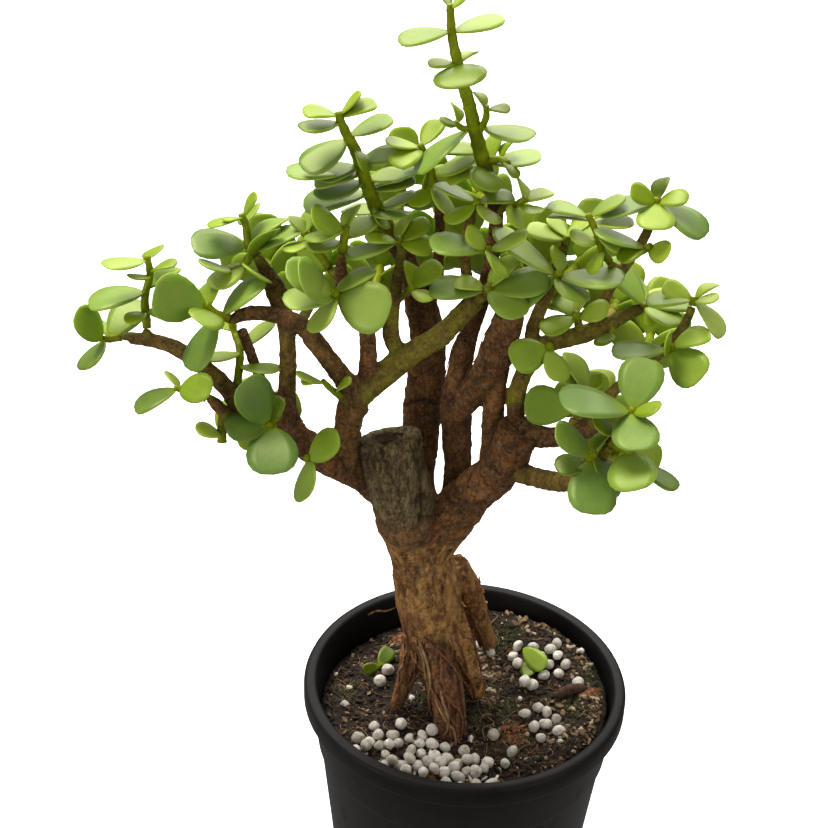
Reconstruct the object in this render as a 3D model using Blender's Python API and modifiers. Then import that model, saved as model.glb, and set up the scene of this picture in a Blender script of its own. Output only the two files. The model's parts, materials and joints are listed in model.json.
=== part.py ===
"""Dwarf jade bonsai in a round nursery pot.

Metres, +Z up, and the middle of the pot's underside is the origin. The camera of the reference picture
is the frame in which limbs, shoots and leaves are laid out: a place on the plant is a picture point
(across, down) and a distance in millimetres in front of the pot's axis. Radii and lengths are real sizes.
"""

import math
import random

import bmesh
import bpy
from mathutils import Matrix, Vector
from mathutils.bvhtree import BVHTree

MM = 0.001
GAP = 0.3  # clearance in mm between pieces that touch

# The picture's camera: its place in mm, its turn in degrees and its focal length in picture points
EYE = Vector((0.0, -370.5, 393.2)) * MM
LOOK_DOWN = 29.4
LOOK_LEFT = 3.0
HEAD_TILT = 2.0
FOCAL = 1458.0
PICTURE_MIDDLE = 414.0

# Pot, in mm
POT_HEIGHT = 88.0
RIM_RADIUS = 52.0
RIM_BAND = 7.0
COLLAR_RADIUS = 49.4
COLLAR_DROP = 24.0
COLLAR_FOOT_RADIUS = 47.4
BODY_TOP_RADIUS = 46.6
BASE_RADIUS = 40.0
WALL = 1.9
FLOOR = 2.6
DRAIN_RADIUS = 4.0
DRAIN_CIRCLE = 25.0
DRAIN_COUNT = 4
POT_STEPS = 32

# Soil, in mm
SOIL_TOP = 77.0
SOIL_RINGS = (12.0, 25.0, 37.0)
SOIL_SIDE_SLACK = 0.35
ROOT_DEPTH = 9.0

# Leaves, in mm
LEAF_THICKNESS = 1.7
LEAF_RATIO = 0.82
LEAF_ROOT = (0.05, 0.22)
LEAF_OUTLINE = ((0.40, 0.39), (0.77, 0.48))
LEAF_CROWN = (0.60, 0.50)
LEAF_ARCH = 0.8
OUTER_PART = 0.3
NODE_MARGIN = 1.6
END_MARGIN = 0.8
THICK_STEM = 1.55
LEAF_CLEARANCE = 0.2
ROOT_SHIFT = 0.45

# Limbs of old wood: (across, down, toward the eye in mm, radius in mm)
LIMBS = {
    "trunk": ((444, 684, -3, 6.0), (434, 648, -1, 8.6), (429, 600, 0, 10.3), (422, 556, 0, 10.0),
              (423, 516, 0, 10.2)),
    "stump": ((417, 556, 2, 7.8), (406, 513, 5, 9.2), (397, 474, 9, 9.2), (388, 436, 7, 9.5)),
    "back_limb": ((425, 520, -5, 5.8), (422, 480, -8, 3.7), (421, 440, -9, 5.1), (423, 405, -10, 6.0),
                  (428, 350, -11, 5.4), (422, 308, -12, 4.8), (407, 262, -10, 2.8), (388, 234, -8, 2.7)),
    "middle_limb": ((444, 530, -3, 5.5), (455, 498, -3, 4.5), (458, 468, -3, 4.2), (456, 432, -2, 4.6),
                    (456, 400, -2, 4.7), (462, 356, -4, 3.4), (471, 330, -4, 2.5), (482, 300, -3, 2.3), (492, 255, -2, 2.1),
                    (496, 222, -2, 2.1), (494, 190, -2, 2.3)),
    "right_limb": ((424, 556, 1, 7.6), (446, 521, 3, 7.5), (473, 493, 6, 6.6), (503, 465, 9, 6.2),
                   (520, 428, 11, 6.2)),
    "low_right_branch": ((506, 466, 10, 3.6), (534, 477, 16, 2.9), (562, 482, 27, 2.7), (586, 478, 36, 2.2),
                         (602, 458, 37, 1.9)),
    "stub_branch": ((518, 434, 11, 3.8), (556, 437, 10, 2.9), (588, 428, 8, 2.9), (605, 420, 8, 3.0)),
    "upright_limb": ((490, 482, 7, 3.8), (493, 432, 4, 3.4), (495, 392, 3, 3.0), (499, 366, 2, 3.2)),
    "dead_limb": ((456, 414, 0, 3.8), (474, 390, 2, 4.3), (496, 356, 3, 4.8), (508, 322, 4, 4.6),
                  (512, 306, 4, 3.0)),
    "right_branch": ((516, 436, 10, 2.6), (516, 400, 5, 2.6), (525, 370, 4, 2.6), (543, 346, 3, 2.6),
                     (577, 336, 1, 2.6), (604, 326, 0, 2.2), (636, 310, -2, 1.8)),
    "left_limb": ((407, 509, 1, 6.3), (368, 477, 4, 5.3), (338, 463, 8, 5.2), (313, 449, 12, 4.7),
                  (293, 431, 16, 3.9), (284, 404, 18, 3.3), (283, 394, 18, 2.6)),
    "left_riser": ((286, 412, 18, 2.9), (288, 366, 15, 2.4), (286, 326, 12, 2.5), (276, 292, 8, 2.9),
                   (262, 264, 4, 1.8)),
    "left_reach": ((292, 440, 17, 2.6), (262, 437, 22, 2.1), (240, 425, 24, 1.9), (214, 403, 27, 1.7)),
    "long_branch": ((247, 431, 23, 2.5), (238, 406, 22, 2.6), (222, 383, 20, 2.5), (186, 354, 16, 2.2),
                    (160, 342, 14, 2.1), (130, 338, 14, 1.8)),
    "thin_branch": ((285, 412, 17, 2.0), (266, 390, 13, 1.7), (254, 362, 11, 1.6), (242, 330, 14, 1.5)),
    "fork_limb": ((357, 476, 6, 4.6), (347, 446, 9, 4.4), (351, 412, 9, 4.3), (353, 393, 8, 3.9),
                  (340, 374, 10, 2.9), (318, 346, 12, 2.8), (300, 324, 13, 2.5), (262, 313, 15, 2.2),
                  (236, 316, 16, 1.9)),
    "right_fork": ((352, 402, 8, 3.8), (367, 388, 7, 3.9), (397, 364, 4, 3.8), (413, 352, 3, 3.5),
                   (442, 334, 4, 3.1), (476, 300, 4, 2.8)),
    "fork_riser": ((367, 384, 7, 2.7), (368, 346, 6, 2.5), (362, 314, 6, 2.2), (344, 298, 7, 1.9),
                   (341, 264, 6, 1.7)),
    "olive_stem": ((402, 356, 3, 2.4), (391, 336, 1, 2.5), (393, 304, 0, 2.1), (399, 272, 0, 1.6),
                   (401, 252, 0, 1.4)),
    "dark_stem": ((428, 314, -12, 2.0), (437, 274, -9, 1.6), (440, 226, -7, 1.5), (438, 196, -6, 1.4)),
    "centre_stem": ((478, 316, -3, 1.7), (467, 276, 0, 1.6), (465, 242, 1, 1.5), (472, 216, 2, 1.4)),
    "crown_stem": ((532, 357, 4, 2.3), (533, 328, 2, 2.1), (545, 298, 0, 1.9), (555, 274, -2, 1.8), (562, 254, -3, 1.7)),
    "high_right_stem": ((592, 331, 0, 1.7), (611, 286, 0, 1.6), (627, 264, 0, 1.5), (644, 238, 0, 1.4),
                        (651, 222, 0, 1.3)),
    "far_right_stem": ((592, 427, 9, 1.9), (606, 400, 10, 1.7), (624, 382, 10, 1.6), (656, 357, 9, 1.5),
                       (680, 332, 8, 1.4), (689, 315, 8, 1.3)),
    "front_root": ((428, 618, 2, 6.4), (435, 650, 6, 4.8), (444, 682, 10, 5.2), (448, 710, 13, 5.0),
                   (450, 740, 16, 4.4)),
    "right_root": ((444, 600, 0, 5.4), (456, 632, 2, 4.8), (466, 662, 1, 4.1), (474, 686, -1, 3.1),
                   (479, 704, -3, 2.2)),
    "left_root": ((414, 632, 2, 3.8), (407, 668, 4, 2.8), (398, 698, 6, 2.2), (391, 718, 7, 1.7)),
    "back_root": ((454, 566, -4, 5.0), (468, 585, -8, 4.0), (476, 608, -14, 3.4), (484, 630, -22, 2.9),
                  (491, 650, -30, 2.3)),
}
ROOTS = ("trunk", "front_root", "right_root", "left_root", "back_root")
LIMB_ROUND = (2.3, 5.2)
STUMP_HOLLOW = ((394, 470, 9, 3.4), (389, 448, 8, 5.0), (384, 424, 7, 6.8))
STUB_HOLLOW = ((592, 426, 8, 1.2), (612, 417, 8, 1.8))

# Shoots: the place on old wood that carries it, its stems, and its leaves. A stem point is (across, down,
# toward, radius). A leaf is (across and down of its base, across and down of its tip, apparent width, and
# its real length in mm, minus where the tip points away from the eye).
SHOOTS = {
    "low_left": {
        "root": (284, 412, 18),
        "stems": (((272, 421, 24, 1.4), (268, 427, 27, 1.3)),),
        "leaves": ((268, 424, 243, 381, 42, 16), (268, 425, 225, 429, 30, 13),
                   (270, 427, 297, 398, 26, -12), (271, 428, 274, 475, 54, 17)),
    },
    "under_left": {
        "root": (314, 461, 12),
        "stems": (((309, 458, 19, 1.2), (307, 458, 23, 1.1)),),
        "leaves": ((306, 456, 340, 438, 30, 13), (311, 458, 305, 500, 21, 14)),
    },
    "far_left_low": {
        "root": (220, 405, 26),
        "stems": (((207, 398, 27, 1.3), (190, 392, 28, 1.1), (174, 387, 28, 1.0)),),
        "leaves": ((173, 386, 135, 412, 18, 13), (176, 390, 212, 390, 32, 12)),
    },
    "hanging_stub": {
        "root": (226, 412, 26),
        "stems": (((222, 425, 29, 1.3), (222, 442, 30, 1.3)),),
        "leaves": ((222, 432, 197, 432, 16, 9),),
    },
    "far_left_tip": {
        "root": (134, 336, 14),
        "stems": (((122, 337, 14, 1.2), (108, 339, 14, 1.1), (100, 339, 14, 0.9)),),
        "leaves": ((101, 339, 75, 313, 31, 13), (103, 340, 85, 370, 17, 12),
                   (109, 336, 141, 300, 33, -15), (110, 338, 96, 318, 14, -11)),
    },
    "far_left_high": {
        "root": (152, 339, 14),
        "stems": (((147, 329, 14, 1.2), (145, 297, 12, 1.1), (150, 275, 11, 1.0), (147, 256, 10, 0.9)),),
        "leaves": ((143, 290, 88, 306, 22, 15), (146, 290, 176, 267, 18, -12), (151, 271, 176, 265, 8, 9),
                   (147, 258, 103, 266, 13, 13), (148, 260, 156, 247, 13, -9),
                   (146, 310, 186, 319, 18, 12)),
    },
    "left_big_leaves": {
        "root": (240, 316, 16),
        "stems": (((230, 318, 16, 1.5), (216, 314, 17, 1.3), (205, 304, 17, 1.2)),),
        "leaves": ((206, 302, 153, 293, 50, 17), (218, 316, 190, 371, 27, 17),
                   (236, 306, 197, 321, 27, 13), (228, 306, 265, 280, 20, 13),
                   (210, 306, 214, 278, 22, -12)),
    },
    "left_mid_shoot": {
        "root": (233, 396, 21),
        "stems": (((237, 388, 19, 1.2), (240, 352, 10, 1.1), (235, 334, 5, 1.0), (231, 322, 3, 0.9)),),
        "leaves": ((240, 352, 207, 361, 12, 12), (241, 350, 272, 321, 13, -13),
                   (239, 366, 281, 370, 11, 13), (236, 332, 217, 318, 17, -10)),
    },
    "upper_left": {
        "root": (270, 276, 6),
        "stems": (((257, 257, 3, 1.5), (249, 246, 1, 1.3), (246, 226, 0, 1.1), (241, 214, 0, 0.9)),
                  ((253, 251, 2, 1.2), (243, 266, 6, 1.1), (230, 272, 8, 1.0))),
        "leaves": ((247, 245, 191, 245, 31, 16), (248, 245, 284, 218, 14, -14),
                   (254, 254, 302, 229, 16, 14), (255, 260, 287, 262, 10, 13),
                   (242, 258, 213, 291, 23, 13), (232, 270, 201, 264, 9, 11),
                   (246, 264, 262, 287, 12, 12), (241, 214, 208, 227, 8, 10),
                   (247, 224, 251, 208, 16, -11)),
    },
    "left_crest": {
        "root": (342, 280, 6),
        "stems": (((330, 268, 3, 1.3), (318, 252, 2, 1.2), (304, 232, 1, 1.1)),),
        "leaves": ((304, 230, 308, 202, 20, -13), (309, 240, 287, 252, 12, 9),
                   (308, 238, 332, 228, 14, -9)),
    },
    "left_centre": {
        "root": (350, 302, 7),
        "stems": (((338, 298, 11, 1.5), (333, 292, 15, 1.3)),),
        "leaves": ((334, 292, 285, 269, 32, 16), (337, 296, 290, 276, 38, 17),
                   (336, 297, 285, 305, 24, 15), (335, 292, 368, 266, 17, -13),
                   (338, 297, 389, 315, 54, 17), (334, 297, 315, 333, 20, 13)),
    },
    "left_centre_high": {
        "root": (341, 272, 6),
        "stems": (((342, 253, 6, 1.3), (344, 240, 6, 1.2), (346, 226, 6, 1.0)),),
        "leaves": ((345, 226, 311, 215, 25, 12), (344, 228, 306, 237, 10, 12),
                   (343, 242, 307, 248, 17, 11), (345, 240, 373, 217, 22, -12),
                   (346, 226, 356, 206, 14, -9)),
    },
    "centre_left_high": {
        "root": (401, 256, 0),
        "stems": (((400, 245, 2, 1.2), (398, 238, 3, 1.0)),),
        "leaves": ((397, 242, 366, 240, 12, 10), (396, 246, 335, 256, 17, 16),
                   (400, 243, 429, 220, 19, -10), (402, 246, 434, 249, 22, 10),
                   (399, 240, 405, 214, 14, -10)),
    },
    "left_leader": {
        "root": (392, 240, -8),
        "stems": (((382, 219, -7, 2.4), (371, 195, -5, 2.1), (362, 170, -3, 1.8), (355, 150, -1, 1.6),
                   (347, 135, 0, 1.4), (341, 122, 1, 1.2), (338, 112, 1, 1.0)),),
        "leaves": ((339, 113, 303, 114, 13, 10), (342, 117, 377, 104, 15, -10),
                   (341, 121, 300, 129, 14, 12), (349, 137, 392, 117, 17, -13),
                   (349, 139, 303, 170, 29, 15), (360, 160, 400, 156, 20, 12),
                   (360, 165, 321, 180, 19, 12), (362, 168, 286, 178, 19, 17),
                   (364, 172, 314, 186, 16, -13), (367, 178, 314, 192, 18, 15),
                   (371, 194, 303, 207, 25, 16), (370, 190, 416, 180, 13, 13),
                   (371, 186, 434, 176, 9, -16), (371, 178, 405, 172, 16, -10),
                   (377, 202, 384, 228, 12, 9), (378, 206, 414, 196, 12, 12),
                   (378, 208, 400, 226, 24, 13), (380, 214, 346, 208, 14, -12)),
    },
    "middle_shoot": {
        "root": (438, 202, -6),
        "stems": (((437, 189, -5, 1.2), (432, 175, -4, 1.1), (428, 160, -3, 1.0), (420, 144, -2, 0.9)),),
        "leaves": ((420, 144, 385, 141, 10, 10), (421, 143, 439, 119, 20, -10),
                   (424, 148, 395, 167, 22, 11), (431, 176, 475, 160, 17, 13),
                   (435, 184, 415, 207, 18, 10), (429, 162, 404, 150, 14, -10),
                   (430, 166, 404, 178, 12, -9), (436, 182, 449, 216, 16, 12)),
    },
    "tall_leader": {
        "root": (494, 196, -2),
        "stems": (((487, 174, -2, 2.1), (480, 150, -1, 2.0), (475, 130, 0, 1.9), (468, 100, 1, 1.7),
                   (463, 85, 1, 1.6), (457, 60, 1, 1.45), (452, 35, 0, 1.25), (450, 4, 0, 1.0)),
                  ((479, 132, 0, 1.0), (486, 118, 2, 0.9), (486, 106, 3, 0.8)),
                  ((473, 128, 0, 1.0), (462, 128, 1, 0.8), (455, 122, 2, 0.8)),
                  ((484, 163, -2, 1.3), (499, 159, 0, 1.0), (509, 164, 2, 0.9))),
        "leaves": ((450, 6, 438, -16, 10, -9), (451, 6, 472, -14, 10, 9), (451, 30, 398, 42, 17, 14),
                   (453, 32, 504, 17, 16, -14), (461, 64, 462, 88, 54, 13), (478, 125, 533, 138, 18, 15),
                   (472, 130, 411, 167, 16, 17), (484, 163, 542, 156, 17, 15),
                   (492, 160, 496, 131, 18, -10), (485, 170, 484, 190, 32, 12),
                   (484, 174, 446, 180, 15, 11), (481, 154, 447, 151, 14, -10)),
    },
    "leader_side": {
        "root": (497, 214, -2),
        "stems": (((507, 207, 2, 1.1), (518, 204, 4, 1.0), (526, 198, 5, 0.9)),),
        "leaves": ((520, 203, 552, 191, 13, -10), (518, 205, 538, 214, 14, 9),
                   (514, 206, 514, 226, 18, 9), (524, 199, 518, 178, 10, -9)),
    },
    "centre_high": {
        "root": (471, 222, 2),
        "stems": (((474, 208, 4, 1.1), (478, 200, 5, 0.9)),),
        "leaves": ((475, 206, 515, 190, 19, -12), (474, 205, 438, 179, 13, -13),
                   (474, 208, 447, 223, 16, 10), (475, 207, 497, 224, 13, 9)),
    },
    "centre_front": {
        "root": (466, 256, 0),
        "stems": (((478, 250, 8, 1.2), (490, 250, 12, 1.1)),),
        "leaves": ((488, 250, 466, 230, 18, 9), (488, 251, 430, 246, 23, 16),
                   (490, 250, 526, 232, 14, 12), (489, 252, 500, 276, 14, 11)),
    },
    "centre": {
        "root": (470, 306, 4),
        "stems": (((484, 293, 6, 1.8), (490, 287, 8, 1.4)),),
        "leaves": ((489, 288, 505, 253, 22, -13), (486, 290, 454, 283, 15, 9),
                   (485, 291, 431, 287, 26, -16), (489, 289, 549, 279, 31, 16),
                   (488, 289, 520, 318, 30, 14)),
    },
    "olive_leaves": {
        "root": (398, 300, 0),
        "stems": (((406, 293, 4, 1.1), (412, 288, 7, 1.0)),),
        "leaves": ((411, 289, 402, 266, 14, -9), (412, 287, 426, 256, 24, -11)),
    },
    "crown_right": {
        "root": (560, 260, -3),
        "stems": (((565, 245, -3, 1.3), (568, 236, -3, 1.1)),),
        "leaves": ((563, 243, 527, 227, 17, 11), (567, 242, 612, 232, 20, 13),
                   (566, 238, 552, 218, 14, -9), (567, 238, 588, 216, 14, -10)),
    },
    "crown_mid": {
        "root": (550, 290, -1),
        "stems": (((556, 279, 4, 1.3), (560, 272, 8, 1.1)),),
        "leaves": ((558, 274, 625, 278, 22, 18), (557, 275, 486, 240, 22, 21),
                   (559, 274, 558, 248, 16, -9), (558, 278, 580, 302, 22, 13),
                   (556, 280, 512, 310, 28, 15)),
    },
    "right_node": {
        "root": (628, 314, -2),
        "stems": (((642, 308, -2, 1.5), (648, 305, -2, 1.3)),),
        "leaves": ((642, 307, 588, 283, 21, 16), (645, 304, 624, 271, 25, -13),
                   (648, 305, 692, 306, 18, 12), (646, 307, 681, 325, 18, 13),
                   (647, 304, 660, 288, 12, -8), (644, 308, 624, 336, 18, 11)),
    },
    "far_right": {
        "root": (688, 318, 8),
        "stems": (((692, 307, 8, 1.2), (695, 297, 7, 1.1)),),
        "leaves": ((694, 298, 663, 285, 20, 9), (693, 303, 647, 296, 15, 13), (693, 306, 722, 338, 17, 12)),
    },
    "far_right_mid": {
        "root": (658, 354, 9),
        "stems": (((666, 352, 14, 1.2), (672, 347, 18, 1.0)),),
        "leaves": ((671, 347, 666, 342, 20, 9), (666, 352, 702, 379, 42, 14),
                   (674, 345, 711, 334, 20, 11), (666, 352, 611, 351, 20, 15)),
    },
    "low_right": {
        "root": (598, 462, 37),
        "stems": (((609, 447, 38, 1.5), (622, 428, 37, 1.4), (634, 408, 35, 1.2)),
                  ((612, 444, 38, 1.2), (630, 452, 42, 1.2), (642, 466, 44, 1.0))),
        "leaves": ((636, 407, 646, 358, 48, -16), (633, 408, 560, 401, 31, 20),
                   (633, 410, 638, 451, 48, 16), (626, 450, 636, 491, 50, 15),
                   (643, 467, 678, 489, 17, 12), (635, 410, 660, 408, 15, 9), (620, 432, 594, 424, 16, 9)),
    },
    "low_right_front": {
        "root": (584, 478, 35),
        "stems": (((588, 466, 39, 1.4), (593, 452, 42, 1.2)),),
        "leaves": ((590, 458, 593, 515, 50, 17), (589, 464, 556, 470, 23, 10),
                   (592, 452, 555, 429, 26, 13), (592, 453, 606, 430, 14, -9),
                   (592, 456, 622, 490, 22, -13)),
    },
    "right_inner": {
        "root": (570, 433, 9),
        "stems": (((574, 418, 8, 1.3), (580, 396, 6, 1.2), (588, 388, 5, 1.0)),),
        "leaves": ((577, 408, 524, 408, 42, 15), (582, 394, 553, 356, 22, -14),
                   (588, 388, 568, 352, 20, -13), (588, 388, 604, 382, 12, 8),
                   (578, 404, 602, 400, 12, 8)),
    },
    "branch_leaf": {
        "root": (548, 345, 3),
        "stems": (((549, 348, 9, 1.3), (549, 347, 13, 1.2)),),
        "leaves": ((549, 347, 511, 362, 37, 13), (550, 346, 560, 382, 24, 11)),
    },
    "branch_top_leaves": {
        "root": (582, 334, 1),
        "stems": (((578, 322, 3, 1.3), (576, 312, 4, 1.1)),),
        "leaves": ((577, 320, 556, 293, 29, -12), (577, 316, 609, 309, 21, 10),
                   (577, 320, 541, 331, 21, 11)),
    },
    "branch_under_leaf": {
        "root": (612, 322, 0),
        "stems": (((613, 328, 3, 1.1), (613, 334, 5, 1.0)),),
        "leaves": (),
    },
    "high_right": {
        "root": (650, 226, 0),
        "stems": (((655, 209, 0, 1.2), (658, 198, 0, 1.0)),),
        "leaves": ((657, 201, 630, 190, 20, 9), (659, 201, 689, 199, 17, 9), (656, 204, 655, 230, 40, 12),
                   (657, 205, 705, 237, 26, 16), (652, 211, 600, 214, 21, 14)),
    },
    "high_right_low": {
        "root": (634, 254, 0),
        "stems": (((644, 250, 5, 1.1), (650, 246, 8, 1.0)),),
        "leaves": ((644, 249, 590, 243, 14, 14), (646, 248, 669, 254, 25, 9), (643, 250, 620, 262, 16, 9)),
    },
    "high_right_inner": {
        "root": (622, 271, 0),
        "stems": (((610, 262, 3, 1.1), (602, 250, 4, 1.0), (596, 232, 4, 0.9), (588, 214, 3, 0.9)),),
        "leaves": ((588, 214, 546, 207, 13, 11), (588, 213, 624, 195, 13, -11),
                   (592, 220, 550, 215, 12, -12), (594, 223, 634, 216, 13, 11),
                   (600, 242, 570, 236, 15, 9), (598, 236, 626, 240, 14, 9)),
    },
    "fork_shoot": {
        "root": (350, 405, 9),
        "stems": (((341, 397, 12, 1.0), (330, 388, 15, 0.9), (323, 381, 17, 0.8)),),
        "leaves": ((326, 380, 297, 375, 8, 9),),
    },
}

# Small leaves that are set last, by shoot, in the same form
SMALL_LEAVES = {
    "far_left_low": ((174, 387, 169, 372, 9, -7),),
    "far_left_high": ((150, 275, 132, 278, 8, 8), (146, 312, 130, 324, 14, 8)),
    "upper_left": ((245, 216, 226, 225, 8, 7), (241, 213, 257, 194, 9, 8)),
    "left_crest": ((304, 232, 290, 222, 10, -8),),
    "left_leader": ((339, 113, 361, 91, 7, -7), (353, 146, 366, 172, 12, 8)),
    "tall_leader": ((457, 64, 428, 65, 10, 8), (459, 64, 476, 52, 8, -7), (486, 108, 475, 92, 9, -6),
                    (486, 110, 509, 112, 9, 7), (456, 124, 453, 104, 9, -7), (456, 124, 441, 121, 9, 6),
                    (500, 160, 513, 141, 8, -7), (504, 163, 514, 178, 10, 7)),
    "olive_leaves": ((411, 289, 432, 300, 14, 8),),
    "far_right": ((695, 298, 717, 284, 10, -8), (694, 300, 717, 300, 11, 8)),
    "branch_top_leaves": ((576, 312, 584, 290, 12, -8),),
    "branch_under_leaf": ((613, 331, 600, 346, 14, 8),),
    "high_right": ((658, 200, 665, 177, 16, -8),),
    "high_right_inner": ((602, 250, 594, 274, 14, 8),),
    "fork_shoot": ((324, 380, 302, 384, 8, 7), (335, 392, 352, 380, 8, 7)),
}

# Shoots on the side away from the eye: root, and a stem that bears pairs of leaves by rule
BACK_SHOOTS = {
    "back_crown": ((430, 296, -12), ((438, 276, -24), (445, 250, -38), (448, 228, -50))),
    "back_left_crown": ((428, 318, -12), ((410, 292, -26), (396, 268, -40), (388, 246, -52))),
    "back_centre": ((480, 304, -3), ((494, 284, -18), (506, 262, -32), (514, 240, -44))),
    "back_right_crown": ((550, 292, -1), ((566, 278, -16), (580, 260, -32), (588, 240, -44))),
    "back_right": ((604, 326, 0), ((612, 312, -14), (616, 303, -28), (618, 296, -40))),
    "back_leader": ((494, 214, -2), ((488, 204, -13), (479, 196, -22), (470, 190, -30))),
    "back_left_leader": ((392, 242, -9), ((398, 214, -22), (402, 190, -32), (404, 168, -40))),
    "back_upper_left": ((276, 290, 8), ((270, 276, -8), (266, 262, -20), (262, 250, -30))),
    "back_left": ((300, 324, 13), ((312, 300, -2), (318, 278, -16), (322, 258, -28))),
    "back_fork": ((362, 316, 6), ((374, 292, -8), (380, 268, -22), (382, 246, -34))),
    "back_low_left": ((285, 404, 18), ((274, 404, 4), (262, 412, -8), (254, 418, -18))),
    "back_stub": ((572, 433, 9), ((580, 416, -6), (588, 408, -18), (595, 404, -28))),
    "back_far_right": ((640, 370, 10), ((646, 352, -2), (650, 336, -14), (654, 320, -24))),
    "back_low_right": ((596, 464, 37), ((611, 463, 24), (618, 458, 12), (622, 450, 2))),
    "back_middle": ((515, 312, 4), ((524, 292, -10), (534, 270, -22), (540, 250, -32))),
}
BACK_STEM_RADII = (1.5, 1.3, 1.1)
BACK_PAIRS = (0.28, 0.52, 0.76, 1.0)
BACK_LEAF = (11.0, 14.5)
BACK_SEED = 41
PAIR_STEP = 0.23
SPREAD = 62.0

# Turns in degrees that a leaf tries, about its root, until it clears every other piece
TRIES = (0, 5, 10, 16, 23, 32, 43, 55)
SHRINKS = (1.0, 0.86, 0.72, 0.58)
SHRINK_COST = 90.0

# Pale grains of feed on the soil, by picture point, and their radius in mm
GRAIN_RADIUS = 2.2
GRAIN_CORE = 0.8
GRAINS = {
    "prills_front": ((357, 741), (372, 743), (386, 752), (402, 742), (410, 760), (428, 765), (440, 752),
                     (428, 738)),
    "prills_front_right": ((446, 772), (464, 766), (478, 758), (488, 770)),
    "prills_right": ((537, 708), (547, 720), (536, 732), (560, 729)),
    "prills_back": ((518, 647), (520, 661), (536, 656), (552, 662), (566, 666), (556, 677), (536, 680)),
}

# A loose chip of bark on the soil, by picture point
BARK_STICK = ((551, 695), (568, 691), (586, 687))
BARK_STICK_RADII = (0.9, 1.7, 1.2)
BARK_HEIGHT = 1.7

COLOURS = {
    "pot": ((0.022, 0.022, 0.024), 0.42),
    "soil": ((0.028, 0.019, 0.013), 0.95),
    "wood": ((0.165, 0.095, 0.055), 0.85),
    "leaf": ((0.20, 0.32, 0.08), 0.38),
    "back_leaf": ((0.11, 0.21, 0.05), 0.38),
    "grain": ((0.62, 0.60, 0.54), 0.6),
    "bark": ((0.24, 0.12, 0.06), 0.9),
}

VIEW = (
    Matrix.Rotation(math.radians(LOOK_LEFT), 3, "Z")
    @ Matrix.Rotation(math.radians(90.0 - LOOK_DOWN), 3, "X")
    @ Matrix.Rotation(math.radians(HEAD_TILT), 3, "Z")
)


def sight(across, down):
    """The direction from the eye through a point of the picture."""
    return VIEW @ Vector(((across - PICTURE_MIDDLE) / FOCAL, (PICTURE_MIDDLE - down) / FOCAL, -1.0))


def spot(across, down, toward):
    """The place seen at a picture point, at a distance in mm in front of the pot's axis."""
    ray = sight(across, down)
    return EYE + ray * ((-toward * MM - EYE.y) / ray.y)


def ground_spot(across, down, height):
    """The place seen at a picture point, at a height in mm."""
    ray = sight(across, down)
    return EYE + ray * ((height * MM - EYE.z) / ray.z)


def clear_scene():
    for obj in list(bpy.data.objects):
        bpy.data.objects.remove(obj, do_unlink=True)


def new_collection(name):
    group = bpy.data.collections.new(name)
    bpy.context.scene.collection.children.link(group)
    return group


def material(name):
    colour, roughness = COLOURS[name]
    made = bpy.data.materials.new(name)
    made.use_nodes = True
    shader = made.node_tree.nodes["Principled BSDF"]
    shader.inputs["Base Color"].default_value = (*colour, 1.0)
    shader.inputs["Roughness"].default_value = roughness
    shader.inputs["Metallic"].default_value = 0.0
    return made


def add_object(name, data, group):
    obj = bpy.data.objects.new(name, data)
    group.objects.link(obj)
    return obj


def evaluated_mesh(obj):
    bpy.context.view_layer.update()
    graph = bpy.context.evaluated_depsgraph_get()
    return bpy.data.meshes.new_from_object(obj.evaluated_get(graph), depsgraph=graph)


def weld(mesh):
    """Joins a curve's loose caps to its sides."""
    shape = bmesh.new()
    shape.from_mesh(mesh)
    bmesh.ops.remove_doubles(shape, verts=shape.verts, dist=0.01 * MM)
    shape.to_mesh(mesh)
    shape.free()
    return mesh


def tube(name, points, radii, group, round_level=2):
    """A closed tube through world points, with a radius in mm at each, as a mesh object."""
    curve = bpy.data.curves.new(name, "CURVE")
    curve.dimensions = "3D"
    curve.bevel_depth = MM
    curve.bevel_resolution = round_level
    curve.use_fill_caps = True
    line = curve.splines.new("POLY")
    line.points.add(len(points) - 1)
    for knot, point, radius in zip(line.points, points, radii):
        knot.co = (*point, 1.0)
        knot.radius = radius
    guide = add_object(name + "_guide", curve, group)
    mesh = weld(evaluated_mesh(guide))
    bpy.data.objects.remove(guide)
    bpy.data.curves.remove(curve)
    return add_object(name, mesh, group)


def boolean(obj, operation, others, solver="EXACT"):
    """Joins to the object, or cuts from it, a list of others, which are then removed."""
    helpers = bpy.data.collections.new(obj.name + "_helpers")
    for other in others:
        helpers.objects.link(other)
    step = obj.modifiers.new(operation.lower(), "BOOLEAN")
    step.operand_type = "COLLECTION"
    step.collection = helpers
    step.operation = operation
    step.solver = solver
    mesh = evaluated_mesh(obj)
    obj.modifiers.clear()
    obj.data = mesh
    for other in others:
        bpy.data.objects.remove(other)
    bpy.data.collections.remove(helpers)
    return obj


def turned(name, profile, group):
    """A closed solid turned about Z from (radius, height) points in mm, run down its outer side."""
    mesh = bpy.data.meshes.new(name)
    points = [(radius * MM, 0.0, height * MM) for radius, height in profile]
    mesh.from_pydata(points, [(i, i + 1) for i in range(len(points) - 1)], [])
    obj = add_object(name, mesh, group)
    screw = obj.modifiers.new("turn", "SCREW")
    screw.steps = POT_STEPS
    screw.render_steps = POT_STEPS
    screw.use_merge_vertices = True
    screw.merge_threshold = 0.01 * MM
    obj.data = evaluated_mesh(obj)
    obj.modifiers.clear()
    return obj


def collar_foot():
    return POT_HEIGHT - COLLAR_DROP


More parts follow.
